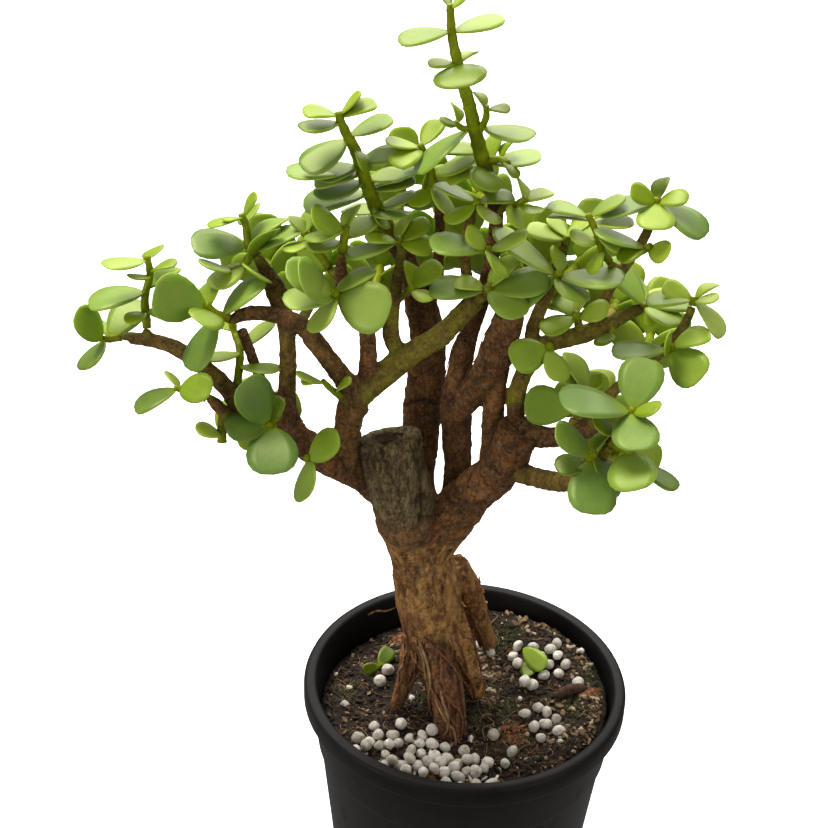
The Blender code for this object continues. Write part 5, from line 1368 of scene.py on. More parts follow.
def build_moss(draw):
    """Small pointed tufts of moss, in patches."""
    blade = np.array([(0, -0.5, 0), (0, 0.5, 0), (0.6, 0.35, 0.55), (0.6, -0.35, 0.55), (0.35, 0, 1.6),
                      (-0.25, 0, 0.5)])
    sides = [(0, 1, 2, 3), (3, 2, 4), (0, 3, 4, 5), (1, 5, 4, 2), (1, 0, 5)]
    tufts = []
    for _ in range(MOSS_TUFTS):
        across, down, reach = draw.choice(MOSS_PATCHES)
        middle = soil_spot(across, down)
        turn, far = draw.uniform(0, math.tau), reach * draw.random() ** 0.8
        x, y = middle.x + far * math.cos(turn), middle.y + far * math.sin(turn)
        if math.hypot(x, y) > SOIL_SPREAD:
            continue
        size = draw.uniform(0.25, 0.6)
        frame = (resting(x, y, -0.1) @ Matrix.Rotation(draw.uniform(0, math.tau), 4, "Z")
                 @ turned(draw, "Y", 0.6) @ sized(size, size, size))
        tufts.append(placed((blade, sides), frame, tone=draw.random()))
    show(joined("moss_tufts", tufts), moss_finish(), "soil")


def build_litter():
    """The bark chip, dry threads and moss on the soil."""
    draw = random.Random(LITTER_SEED)
    build_bark_chip()
    build_fibres(draw)
    build_moss(draw)


# Fine roots and flakes that ride on the big roots

def limb_points(rows):
    """The places and radii of rows of (across, down, toward, radius)."""
    return [spot(*row[:3]) for row in rows], [row[3] for row in rows]


def rooted(name):
    """A limb's points and radii, with a root's end carried down into the soil."""
    points, radii = limb_points(LIMBS[name])
    if name in ROOTS:
        at, end = (0, 0) if name == "trunk" else (len(points), -1)
        below = Vector((points[end].x, points[end].y, (SOIL_TOP - ROOT_DEPTH) * MM))
        points.insert(at, below)
        radii.insert(at, radii[end] * 0.7)
    return points, radii


def riding_line(name):
    """A big root's even samples, its radii in mm, and two directions across it at each sample."""
    points, radii = smooth_line(*rooted(name))
    sides = []
    for index in range(len(points)):
        ahead = (points[min(index + 1, len(points) - 1)] - points[max(index - 1, 0)]).normalized()
        first = ahead.cross(Vector((0, 1, 0))).normalized()
        sides.append((first, ahead.cross(first), ahead))
    return points, radii, sides


def root_strand(draw, name, thin, stands):
    """A drawn thin root along a big one, which may lift clear of it in a loop."""
    points, radii, sides = riding_line(name)
    start = draw.uniform(0.0, 0.55)
    end = min(1.0, start + draw.uniform(0.25, 0.6))
    turn, drift = draw.uniform(0, math.tau), draw.uniform(-1.2, 1.2)
    lift = draw.choice((0.0, 0.2, 0.5, stands))
    line, sizes = [], []
    for step in range(STRAND_STEPS + 1):
        t = step / STRAND_STEPS
        index = int((start + (end - start) * t) * (len(points) - 1))
        angle = turn + drift * t + 0.3 * math.sin(5 * t + turn)
        away = radii[index] + thin * 0.2 + lift * math.sin(math.pi * t)
        across = sides[index][0] * math.cos(angle) + sides[index][1] * math.sin(angle)
        line.append(points[index] + across * away * MM)
        sizes.append(thin * (1.1 - 0.5 * t) * (0.35 if step in (0, STRAND_STEPS) else 1.0))
    return taken(tube("strand", *smooth_line(line, sizes, 0.6), 1))


def build_root_strands():
    """Thin roots that run down the trunk's foot and the big roots, and rootlets on the limbs."""
    draw = random.Random(STRAND_SEED)
    pale, dark = [], []
    for name, count, thin, stands in ROOT_STRANDS:
        for _ in range(count):
            strand = root_strand(draw, name, thin, stands)
            (pale if draw.random() < PALE_SHARE else dark).append(strand)
    show(joined("dark_root_strands", dark),
         fibre_finish("dark_root", (0.075, 0.030, 0.014), (0.27, 0.115, 0.05)), "wood")
    show(joined("pale_root_strands", pale),
         fibre_finish("pale_root", (0.14, 0.07, 0.035), (0.48, 0.30, 0.15)), "wood")


def flake_shape(draw):
    """A thin curled scrap of bark, of unit length and width."""
    bpy.ops.mesh.primitive_grid_add(x_subdivisions=4, y_subdivisions=3, size=2.0)
    scrap = bpy.context.object
    apply_modifier(scrap, "SOLIDIFY", thickness=0.12, offset=0.0)
    points, faces, _ = taken(scrap)
    seed = draw.uniform(0, 50)
    torn = np.array([0.35 * noise.noise(Vector((x * 1.3 + seed, y * 1.3, 0.0))) for x, y, _ in points])
    points[:, 0] *= 0.8 + torn
    points[:, 1] *= 0.8 - torn
    points[:, 2] += 0.22 * points[:, 0] ** 2 + 0.3 * torn
    return points, faces


def build_bark_flakes():
    """Orange scraps that peel off the trunk's foot and the roots."""
    draw = random.Random(STRAND_SEED)
    kinds = [flake_shape(draw) for _ in range(FLAKE_KINDS)]
    parts = []
    for name, count, low, high in FLAKES:
        points, radii, sides = riding_line(name)
        for _ in range(count):
            index = int(draw.uniform(low, high) * (len(points) - 1))
            angle = draw.uniform(0, math.tau)
            first, second, ahead = sides[index]
            out = first * math.cos(angle) + second * math.sin(angle)
            long, wide = draw.uniform(0.9, 2.3), draw.uniform(0.5, 1.2)
            lie = Matrix((ahead, out.cross(ahead), out)).transposed().to_4x4()
            place = Matrix.Translation(points[index] + out * (radii[index] + FLAKE_LIFT) * MM)
            frame = place @ lie @ turned(draw, "Y", 0.5) @ turned(draw, "Z", 0.4) @ sized(long, wide, 1.0)
            parts.append(placed(draw.choice(kinds), frame))
    show(joined("bark_flakes", parts, smooth=False),
         fibre_finish("orange_bark", (0.16, 0.062, 0.022), (0.50, 0.24, 0.085)), "wood")


# Wood

def back_rows(name):
    """The stem rows of a shoot of the back."""
    return tuple((*point, radius) for point, radius in zip(BACK_SHOOTS[name][1], BACK_STEM_RADII))


def joint(rows):
    """Where a shoot's first stem starts, and its direction there."""
    start = spot(*rows[0][:3])
    return start, (spot(*rows[1][:3]) - start).normalized()


def all_shoots():
    """Each shoot's name, the place that carries it and its first stem."""
    front = [(name, root, stems[0]) for name, (root, stems, _) in SHOOTS.items()]
    back = [(name, BACK_SHOOTS[name][0], back_rows(name)) for name in BACK_SHOOTS]
    return front + back


def twig_line(root, rows):
    """The short piece of old wood that carries a shoot."""
    start, along = joint(rows)
    inside = spot(*root)
    reach = (start - inside).length
    radius = rows[0][3] * 1.08
    return [inside, start - along * min(1.2 * MM, reach * 0.4), start], [radius] * 3


def limb_samples(lines):
    """Rows of middle, radius, run, direction and limb number along every line."""
    rows = []
    for number, (points, radii) in enumerate(lines):
        run = 0.0
        for index, (point, radius) in enumerate(zip(points, radii)):
            ahead = points[min(index + 1, len(points) - 1)] - points[max(index - 1, 0)]
            rows.append((*point, radius * MM, run, *ahead.normalized(), number))
            if index + 1 < len(points):
                run += (points[index + 1] - point).length / MM
    return np.array(rows)


def nearest_limb(corners, rows):
    """For each corner its nearest sample, its depth over that limb and over the next limb, in metres."""
    best = np.empty(len(corners), int)
    first, second = np.empty(len(corners)), np.empty(len(corners))
    middles, radii, numbers = rows[:, :3], rows[:, 3], rows[:, 8]
    for start in range(0, len(corners), CHUNK):
        part = corners[start:start + CHUNK]
        depth = np.linalg.norm(part[:, None] - middles[None], axis=2) - radii
        index = depth.argmin(axis=1)
        best[start:start + CHUNK] = index
        first[start:start + CHUNK] = depth[np.arange(len(part)), index]
        depth[numbers[None] == numbers[index][:, None]] = 1.0
        second[start:start + CHUNK] = depth.min(axis=1)
    return best, first, second


def neighbours_mean(values, ends, rounds):
    """Evens out a number over the mesh by its edges."""
    count = np.bincount(ends.ravel(), minlength=len(values)).astype(float)
    for _ in range(rounds):
        total = np.bincount(ends[:, 0], values[ends[:, 1]], len(values))
        total += np.bincount(ends[:, 1], values[ends[:, 0]], len(values))
        values = 0.4 * values + 0.6 * total / np.maximum(count, 1.0)
    return values


def bark_noise(offset, slide, across, along, shift):
    """Smooth noise over a limb's skin, with its scale in features a mm across the limb and along it."""
    return noise.noise((offset * across + slide * along) / MM + Vector(shift))


def bark_relief(offset, run, radius, tan, grey, red, seed):
    """How far the bark stands out in mm at a place on a limb, its ring there, and the darkness of the
    painted shade in its cracks and grooves.
    """
    slide = Vector((0.37, 0.61, 0.70)) * run * MM
    ridge = abs(bark_noise(offset, slide, 0.42, 0.11, (seed, 0, 0)))
    crack = max(0.0, 1.0 - ridge / 0.16) * (0.35 + 0.65 * (noise.noise(slide / (9 * MM)) > -0.25))
    groove = abs(bark_noise(offset, slide, 0.75, 0.05, (2.0, seed, 0)))
    groove = max(0.0, 1.0 - groove / 0.2) * red
    strand = bark_noise(offset, slide, 0.95, 0.07, (0, seed, 0))
    lump = bark_noise(offset, slide, 0.16, 0.12, (seed, seed, 0))
    knob = bark_noise(offset, slide, 0.5, 0.45, (seed, 5.0, 0))
    wander = bark_noise(offset, slide, 0.3, 0.08, (3.0, seed, 0))
    part = 0.4 + 1.2 * bark_noise(offset, slide, 0.3, 0.2, (0, 9.0, seed))
    step = 0.8 * noise.noise(Vector((run / RING_WANDER, seed, 0.0)))
    phase = (run / RING_STEP + step + 0.6 * wander + 0.37 * seed) % 1.0
    ring = math.exp(-((phase - 0.5) / RING_WIDTH) ** 2) * min(1.0, max(0.0, part + 0.5))
    wrinkle = math.sin(math.tau * (run / WRINKLE_STEP + 0.7 * wander)) * max(0.0, 0.4 + lump)
    thick = min(1.0, radius / 3.0)
    bole = tan * (0.45 * strand - FISSURE_DEPTH * max(crack, 0.8 * groove) + 0.5 * lump)
    limbs = RING_HEIGHT * ring * min(1.0, radius / 2.6) + WRINKLE_DEPTH * wrinkle * thick
    limbs += 0.55 * lump * min(1.0, radius / 5.0)
    limbs += KNOB_HEIGHT * knob * thick - LIMB_FISSURE_DEPTH * crack * thick
    limbs -= STUMP_FISSURE_DEPTH * grey * crack
    scale = min(1.0, radius / 2.2)
    dark = max(crack * max(tan, 0.6 * grey, 0.35), groove)
    return (bole + (1.0 - tan) * limbs) * scale, ring * (1.0 - tan) * (1.0 - grey), dark


def wood_lines():
    """The smooth lines of every limb and then of every twig that carries a shoot."""
    lines = [smooth_line(*rooted(name)) for name in LIMBS]
    return lines + [smooth_line(*twig_line(root, rows), 1.0) for _, root, rows in all_shoots()]


def wood_body(name, lines, chosen):
    """One body from some of the lines, with the hollows of the cut limbs among them."""
    names = list(LIMBS)
    tubes = {index: tube(f"limb_{index}", *lines[index], 6 if index < len(names) else 2)
             for index in chosen}
    for owner, rows in HOLLOWS.items():
        index = names.index(owner)
        if index in chosen:
            cut_out(tubes[index], tube(owner + "_hollow", *smooth_line(*limb_points(rows)), 6))
    only(*tubes.values())
    bpy.ops.object.join()
    wood = bpy.context.object
    wood.name = name
    apply_modifier(wood, "REMESH", mode="VOXEL", voxel_size=BARK_VOXEL * MM, use_smooth_shade=True)
    apply_modifier(wood, "SMOOTH", factor=0.5, iterations=5)
    return wood


def by_line(values, count, rest=0.0):
    """One number for every line: that of its limb's name, or the rest's."""
    names = list(LIMBS)
    found = np.full(count, rest)
    found[:len(names)] = [values.get(name, 0.0) for name in names]
    return found


def on_picture(places):
    """Where each place lies on the picture, and how many mm one step of the picture is there."""
    seen = (places - np.array(EYE)) @ np.array(VIEW)
    return PICTURE_MIDDLE + FOCAL * seen[:, :2] * (1, -1) / -seen[:, 2:], -seen[:, 2] / FOCAL / MM


def bark_places(corners, rows, wander):
    """How far each corner lies inside the places named by picture point, from 0 to 1."""
    points, step = on_picture(corners)
    found = np.zeros(len(corners))
    for across, down, reach in rows:
        away = np.linalg.norm(points - (across, down), axis=1) * step
        found = np.maximum(found, np.clip(1.3 - away / reach + 0.4 * wander, 0.0, 1.0))
    return found


def bark_marks(corners, normals, wander):
    """How far the drawn lines raise each corner in mm, and how dark the painted shade in their grooves makes
    it.
    """
    points, step = on_picture(corners)
    points = points + wander[:, None] * (1.5, -1.5)
    faces_eye = np.clip(((np.array(EYE) - corners) * normals).sum(axis=1) / 0.1, 0.0, 1.0)
    raised, dark = np.zeros(len(corners)), np.zeros(len(corners))
    for height, reach, darkness, path in BARK_MARKS:
        away = np.full(len(corners), np.inf)
        for start, end in zip(np.array(path[:-1], float), np.array(path[1:], float)):
            along = np.clip((points - start) @ (end - start) / ((end - start) @ (end - start)), 0.0, 1.0)
            away = np.minimum(away, np.linalg.norm(points - start - along[:, None] * (end - start), axis=1))
        near = np.exp(-((away * step / reach) ** 2)) * faces_eye
        raised += height * near
        dark = np.maximum(dark, darkness * near)
    return raised, dark


def bark_kinds(numbers, height, wander, ends, count):
    """How tan, grey, olive and red the bark is at each corner, from 0 to 1, evened out over the mesh."""
    names = list(LIMBS)
    tan = np.clip((TRUNK_TOP + wander - height) / TAN_BLEND, 0.0, 1.0)
    tan[np.isin(numbers, [names.index(name) for name in ROOTS if name != "trunk"])] = 1.0
    grey = by_line(GREY_LIMBS, count)[numbers]
    grey = grey * np.clip((height + wander - TRUNK_TOP) / GREY_BLEND, GREY_LEAST, 1.0)
    olive = by_line(OLIVE_LIMBS, count, TWIG_OLIVE)[numbers]
    red = by_line(RED_LIMBS, count)[numbers]
    return [neighbours_mean(values, ends, 5) for values in (tan, grey, olive, red)]


def trunk_edge(height, wander, numbers):
    """The raised edge in mm and the dark line at the top of the trunk's tan bark, at each corner."""
    names = list(LIMBS)
    above = height + wander - TRUNK_TOP
    here = np.isin(numbers, [names.index(name) for name in LEDGE_LIMBS])
    ledge = LEDGE_HEIGHT * np.exp(-((above / LEDGE_WIDTH) ** 2)) * here
    return ledge, 0.7 * np.exp(-(((above + 0.6) / 0.7) ** 2)) * here


def carve_bark(wood, lines):
    """Raises rings, lumps and fissures on the wood, paints where each kind of bark is, and paints shade into
    its cracks, grooves, seams and hollows.
    """
    rows = limb_samples(lines)
    corners, normals, ends = corners_of(wood.data), normals_of(wood.data), edges_of(wood.data)
    best, first, second = nearest_limb(corners, rows)
    numbers = rows[best, 8].astype(int)
    height = corners[:, 2] / MM
    wander = EDGE_WANDER * np.array([crackle(corner, EDGE_WANDER_SIZE) for corner in corners])
    tan, grey, olive, red = bark_kinds(numbers, height, wander, ends, len(lines))
    relief, ring, crease = (np.zeros(len(corners)) for _ in range(3))
    for index, corner in enumerate(corners):
        row = rows[best[index]]
        relief[index], ring[index], crease[index] = bark_relief(
            Vector(corner - row[:3]), row[4], row[3] / MM, tan[index], grey[index], red[index],
            LIMB_SEED_STEP * numbers[index])
    hollow_rows = limb_samples([smooth_line(*limb_points(path)) for path in HOLLOWS.values()])
    _, hollow_depth, _ = nearest_limb(corners, hollow_rows)
    bare = np.clip(1.0 - hollow_depth / (0.7 * MM), 0.0, 1.0)
    # Painted shade that grows deeper inside the hollows
    deep = np.clip(-hollow_depth / (1.2 * MM), 0.0, 1.0)
    meet = np.exp(-np.clip(second - first, 0.0, None) / (SEAM_REACH * MM))
    marks, dark = bark_marks(corners, normals, MARK_WANDER * wander)
    ledge, line = trunk_edge(height, wander, numbers)
    relief = (relief * (1.0 - 0.8 * meet) + (1.0 - tan) * ledge) * (1.0 - bare)
    relief = neighbours_mean(relief, ends, 1) + marks * (1.0 - bare)
    relief += 0.7 * np.exp(-((hollow_depth / (HOLLOW_LIP * MM)) ** 2)) * wander
    put_corners(wood.data, corners + normals * relief[:, None] * MM)
    # Painted shade in the seams where limbs meet and in the grooves of the drawn lines; the dark line at the
    # top of the tan bark joins it
    crease = np.clip(crease * 0.6 + meet * 0.45 * (1.0 - bare), 0.0, 1.0)
    crease = np.maximum.reduce([crease, dark, line, deep])
    red = np.maximum(red, bark_places(corners, BARK_FIBRE, wander))
    rust = bark_places(corners, BARK_RUST, wander)
    paint(wood.data, tan=tan, grey=grey, olive=olive, red=red, rust=rust, ring=ring, cut=bare, crease=crease)


def build_wood(settings):
    """The bole with its thick limbs, and the thinner branches that leave it."""
    lines = wood_lines()
    thick = [index for index, name in enumerate(LIMBS) if name in BOLE_LIMBS]
    thin = [index for index in range(len(lines)) if index not in thick]
    bark = bark_finish(settings)
    for name, chosen, nodes in (("old_bole", thick, ("trunk_and_branches",)), ("old_branches", thin, ())):
        wood = wood_body(name, lines, chosen)
        carve_bark(wood, lines)
        show(wood, bark, "wood", *nodes)


# Shoots

def stem_line(rows, is_first):
    """A stem's points, with the first one held a gap off the wood that carries it."""
    points, radii = limb_points(rows)
    if is_first:
        points[0] = points[0] + (points[1] - points[0]).normalized() * GAP * MM
    return points, radii


def stem_round(line):
    """Four sides on a thin stem, six on a thick one."""
    return 1 if line[1][0] > THICK_STEM else 0


def samples(points, skip):
    """Places along a line about every half millimetre, past a first stretch in mm and short of its end."""
    total = sum((end - start).length for start, end in zip(points, points[1:]))
    skip = min(skip * MM, 0.5 * total)
    most = max(total - END_MARGIN * MM, 0.75 * total)
    found, travelled = [], 0.0
    for start, end in zip(points, points[1:]):
        length = (end - start).length
        count = max(1, int(length / (0.5 * MM)))
        for step in range(count + 1):
            if skip <= travelled + length * step / count <= most:
                found.append(start.lerp(end, step / count))
        travelled += length
    return found


def nearest_to_sight(places, across, down):
    """The one of the places that lies nearest to the sight line of a picture point."""
    ray = sight(across, down).normalized()
    return min(places, key=lambda place: (place - EYE).cross(ray).length)


def tip_on_sight(base, across, down, length):
    """The leaf's tip on its sight line, at the leaf's length from its base where that can be reached."""
    ray = sight(across, down).normalized()
    along = (base - EYE).dot(ray)
    aside = (base - EYE - ray * along).length
    reach = abs(length) * MM
    slide = math.sqrt(max(reach**2 - aside**2, 0.0))
    return EYE + ray * (along - math.copysign(slide, length))


def leaf_frame(base, tip, width, normal):
    """Columns: along the leaf, across it and out of its face, each at the leaf's own size."""
    along = tip - base
    face = (normal - along * normal.dot(along) / along.length_squared).normalized()
    across = face.cross(along.normalized())
    frame = Matrix.Identity(4)
    columns = (along, across * width * MM, face * LEAF_THICKNESS * MM, base)
    for index, column in enumerate(columns):
        for row in range(3):
            frame[row][index] = column[row]
    return frame


def seen_leaf(places, row):
    """The frame of a leaf from its row: it faces the eye as far as its apparent width asks."""
    base = nearest_to_sight(places, row[0], row[1])
    tip = tip_on_sight(base, row[2], row[3], row[5])
    base = base + (tip - base).normalized() * ROOT_SHIFT * MM
    along = tip - base
    seen_width = row[4] / FOCAL * (base - EYE).length / MM
    width = max(LEAF_RATIO * along.length / MM, seen_width)
    to_eye = EYE - base
    to_eye = (to_eye - along * to_eye.dot(along) / along.length_squared).normalized()
    upward = along.normalized().cross(to_eye)
    if upward.z < 0:
        upward.negate()
    lean = math.acos(min(seen_width / width, 1.0))
    return leaf_frame(base, tip, width, to_eye * math.cos(lean) + upward * math.sin(lean))


def paired_leaves(points, draw):
    """Frames of opposite leaves along a stem, each pair a quarter turn on from the last."""
    frames = []
    total = len(points) - 1
    for order, share in enumerate(BACK_PAIRS):
        index = min(int(share * total), total - 1)
        place = points[index].lerp(points[index + 1], share * total - index)
        along = (points[index + 1] - points[index]).normalized()
        side = along.cross(Vector((0, 0, 1))).normalized()
        side.rotate(Matrix.Rotation(math.radians(90 * order + draw.uniform(-18, 18)), 3, along))
        for way in (1, -1):
            spread = math.radians(SPREAD + draw.uniform(-10, 10) - (22 if share == 1.0 else 0))
            lean = along * math.cos(spread) + side * way * math.sin(spread)
            length = draw.uniform(*BACK_LEAF)
            root = place + along * (way - 3.0) * PAIR_STEP * MM + lean * ROOT_SHIFT * MM
            frames.append(leaf_frame(root, root + lean * length * MM, LEAF_RATIO * length, along))
    return frames


def leaf_mesh():
    """One leaf of unit length, width and thickness: the hull of its root, its outline and its crowned
    middle, then arched."""
    points = [(0, y, z) for y in (-LEAF_ROOT[0], LEAF_ROOT[0]) for z in (-LEAF_ROOT[1], LEAF_ROOT[1])]
    points += [(x, side * y, 0) for x, y in LEAF_OUTLINE for side in (1, -1)]
    points += [(1, 0, 0), (LEAF_CROWN[0], 0, LEAF_CROWN[1]), (LEAF_CROWN[0], 0, -LEAF_CROWN[1])]
    shape = bmesh.new()
    for point in points:
        shape.verts.new(point)
    bmesh.ops.convex_hull(shape, input=shape.verts)
    for vertex in shape.verts:
        vertex.co.z += LEAF_ARCH * vertex.co.x * (1 - vertex.co.x)
    bmesh.ops.recalc_face_normals(shape, faces=shape.faces)
    bmesh.ops.triangulate(shape, faces=shape.faces)
    mesh = bpy.data.meshes.new("leaf")
    shape.to_mesh(mesh)
    shape.free()
    return mesh


def leaf_tree(mesh, frame, grow):
    """A search tree of a leaf, wider by a margin in mm, and the middle and reach of its ball."""
    along, across, face = (frame.col[i].xyz for i in range(3))
    wide = frame @ Matrix.Diagonal((
        1 + grow * MM / along.length, 1 + 2 * grow * MM / across.length, 1 + 2 * grow * MM / face.length, 1))
    corners = [wide @ vertex.co for vertex in mesh.vertices]
    middle = sum(corners, Vector()) / len(corners)
    reach = max((corner - middle).length for corner in corners)
    faces = [tuple(face.vertices) for face in mesh.polygons]
    outer = [face for face in faces if min(mesh.vertices[index].co.x for index in face) > OUTER_PART]
    return BVHTree.FromPolygons(corners, faces), BVHTree.FromPolygons(corners, outer), middle, reach


def object_tree(obj):
    """A search tree of an object's faces."""
    return BVHTree.FromPolygons(
        [vertex.co for vertex in obj.data.vertices], [tuple(face.vertices) for face in obj.data.polygons])


def turned_leaf(frame, lift, swing, size):
    """The leaf turned about its root: lift about its width, swing about its face, and made shorter."""
    base = frame.to_translation()
    across = frame.col[1].xyz.normalized()
    face = frame.col[2].xyz.normalized()
    turn = Matrix.Rotation(math.radians(swing), 4, face) @ Matrix.Rotation(math.radians(lift), 4, across)
    scale = Matrix.Diagonal((size, size, 1, 1))
    return Matrix.Translation(base) @ turn @ Matrix.Translation(-base) @ frame @ scale


def leaf_trials():
    """Sizes and turns to try, the mildest change first."""
    signed = [0] + [sign * angle for angle in TRIES[1:] for sign in (1, -1)]
    trials = [(size, lift, swing) for size in SHRINKS for lift in signed for swing in signed]
    return sorted(trials, key=lambda trial: abs(trial[1]) + abs(trial[2]) + SHRINK_COST * (1 - trial[0]))


def clear_leaf(mesh, frame, owner, stems, placed):
    """The mildest change of the leaf that meets no other shoot and no wood, or nothing. One that also
    clears the blades of its own shoot is taken before one that does not."""
    spare = (None, None)
    for size, lift, swing in leaf_trials():
        trial = turned_leaf(frame, lift, swing, size)
        tree, outer, middle, reach = leaf_tree(mesh, trial, LEAF_CLEARANCE)
        if any(tree.overlap(other) for name, other in stems if name != owner):
            continue
        near = [entry for entry in placed if (entry[3] - middle).length < entry[4] + reach]
        if any(tree.overlap(entry[1]) for entry in near if entry[0] != owner):
            continue
        found = trial, (owner, tree, outer, middle, reach)
        if not any(outer.overlap(entry[2]) for entry in near if entry[0] == owner):
            return found
        if spare[0] is None:
            spare = found
    return spare


def wished_leaves(lines):
    """The name of its shoot and the frame of every leaf, before it gives way to its neighbours."""
    draw = random.Random(BACK_SEED)
    wanted = []
    for name, (_, _, leaves) in SHOOTS.items():
        places = samples(lines[name][0][0], NODE_MARGIN)
        for line in lines[name][1:]:
            places += samples(line[0], 0.0)
        wanted += [(name, seen_leaf(places, row)) for row in leaves]
    for name in BACK_SHOOTS:
        wanted += [(name, frame) for frame in paired_leaves(lines[name][0][0], draw)]
    for name, rows in SMALL_LEAVES.items():
        places = [place for line in lines[name] for place in samples(line[0], NODE_MARGIN)]
        wanted += [(name, seen_leaf(places, row)) for row in rows]
    return wanted


def fine_leaf(fullness, cup, arch):
    """A fleshy leaf of unit length, width and thickness, as points, faces and its painted numbers.
    It grows from a ball whose poles become the root and the tip."""
    bpy.ops.mesh.primitive_uv_sphere_add(segments=LEAF_SEGMENTS, ring_count=LEAF_RINGS, radius=1.0)
    points, faces, _ = taken(bpy.context.object)
    lean = np.arccos(np.clip(-points[:, 2], -1.0, 1.0))
    round_at = np.arctan2(points[:, 1], points[:, 0])
    along = ((1.0 - np.cos(lean)) / 2.0) ** fullness
    half = LEAF_FULL * np.sin(lean) ** 0.78 * along**0.25
    half[lean < 0.01] = 0.0
    across = half * np.cos(round_at)
    thick = 0.5 * np.maximum(np.sin(lean), 0.0) ** 0.55 * (0.5 + 0.5 * along**0.4)
    side = np.sin(round_at)
    face = thick * np.where(side > 0.0, 0.42 * np.abs(side) ** 0.5, -0.8 * np.abs(side) ** 0.85)
    face += arch * along * (1.0 - along) + cup * (2.0 * across) ** 2 * along**0.5
    shaped = np.stack([along, across, face], axis=1)
    # How near each point lies to the rim and the tip, where the painted highlight goes
    edge = np.abs(np.cos(round_at)) * np.where(half > 0.01, 1.0, 0.3)
    edge = np.maximum(edge, np.clip((along - 0.9) * 10.0, 0.0, 1.0))
    return shaped, faces, {"along": along, "edge": edge, "under": (side < -0.05) * 1.0}


def leaf_copy(kind, frame, tone):
    """A leaf of a kind in a frame. The longer it is, the older and bluer it looks."""
    points, faces, layers = kind
    old = (frame.col[0].xyz.length / MM - OLD_LEAF_LENGTH) / OLD_LEAF_SPAN
    return placed((points, faces), frame, tone=tone, old=min(1.0, max(0.0, old)), **layers)


def fine_stem(line, first, seed):
    """A smooth stem with a swelling at every node, browner towards its root."""
    points, radii = smooth_line(*line, 0.7)
    runs = np.cumsum([0.0] + [(end - start).length / MM for start, end in zip(points, points[1:])])
    phases = [(run / NODE_STEP + seed) % 1.0 for run in runs]
    swell = [radius * (1.0 + NODE_SWELL * math.exp(-((phase - 0.5) / NODE_WIDTH) ** 2))
             for radius, phase in zip(radii, phases)]
    corners, faces, _ = taken(tube("stem", points, swell, 2))
    away = np.linalg.norm(corners - np.array(points[0]), axis=1) / MM
    start = 1.0 if first else 0.45
    thick = np.clip((radii[0] - 1.2) / 1.2, 0.0, 0.6)
    return corners, faces, {"age": np.clip(start + thick - away / BROWN_REACH, 0.0, 1.3)}


def stem_lines():
    """Every shoot's stem lines by name, those of the front first."""
    lines = {name: [stem_line(rows, index == 0) for index, rows in enumerate(stems)]
             for name, (_, stems, _) in SHOOTS.items()}
    for name in BACK_SHOOTS:
        lines[name] = [stem_line(back_rows(name), True)]
    return lines


def tube_tree(line, level):
    """A search tree of a plain stem."""
    stem = tube("plain_stem", *line, level)
    tree = object_tree(stem)
    bpy.data.objects.remove(stem)
    return tree


def leaf_frames(lines):
    """Each shoot's leaves in their clear places, as in the construction."""
    leaf = leaf_mesh()
    trees = [("wood", object_tree(frame["nodes"]["trunk_and_branches"]))]
    for name, group in lines.items():
        trees += [(name, tube_tree(line, 0 if name in BACK_SHOOTS else stem_round(line))) for line in group]
    found, entries = {name: [] for name in lines}, []
    for name, wish in wished_leaves(lines):
        clear, entry = clear_leaf(leaf, wish, name, trees, entries)
        if clear is not None:
            entries.append(entry)
            found[name].append(clear)
    return found


def build_shoots(settings):
    """One piece for each shoot: its leaves and then its stems."""
    lines = stem_lines()
    frames = leaf_frames(lines)
    draw = random.Random(TONE_SEED)
    kinds = [fine_leaf(*kind) for kind in LEAF_KINDS]
    skin, bark = leaf_finish(settings), stem_finish(settings)
    for name, group in lines.items():
        stems = [fine_stem(line, index == 0, draw.random()) for index, line in enumerate(group)]
        # Painted shade on the leaves of the back, and painted light and shade by shoot
        shift = BACK_SHADE if name in BACK_SHOOTS else SHOOT_LIGHT_AND_SHADE.get(name, 0.0)
        leaves = []
        for place in frames[name]:
            tone = draw.triangular(*LEAF_TONES) + shift
            leaves.append(leaf_copy(draw.choice(kinds), place, tone))
        piece = joined(name + "_shoot", leaves + stems)
        show(piece, skin, "leaf", "shoot_" + name)
        piece.data.materials.append(bark)
        blades = sum(len(faces) for _, faces, _ in leaves)
        for face in piece.data.polygons[blades:]:
            face.material_index = 1


def build_seedlings(settings):
    """The small leaves that grow or lie on the soil."""
    kinds = [fine_leaf(*kind) for kind in LEAF_KINDS]
    thinner = Matrix.Diagonal((1, 1, 0.6, 1))
    parts = []
    for foot_point, tips in SEEDLINGS:
        foot = soil_spot(*foot_point) * MM
        top = foot + Vector((0, 0, SEEDLING_HEIGHT)) * MM
        parts.append(fine_stem(([foot, foot.lerp(top, 0.5), top], list(SEEDLING_RADII)), False, 0.2))
        for index, tip_point in enumerate(tips):
            tip = soil_spot(*tip_point, SEEDLING_TIP_LIFT + 0.8 * index) * MM
            place = leaf_frame(top, tip, (tip - top).length / MM * 0.65, EYE - top)
            parts.append(leaf_copy(kinds[index], place @ thinner, -0.2 + 0.1 * index))
    for foot_point, tip_point, lift, width, tone in FALLEN_LEAVES:
        start, end = (soil_spot(*point, lift) * MM for point in (foot_point, tip_point))
        place = leaf_frame(start, end, width, EYE - start)
        parts.append(leaf_copy(kinds[0], place @ thinner, tone))
    show(joined("soil_seedlings", parts), leaf_finish(settings), "leaf")


# Studio

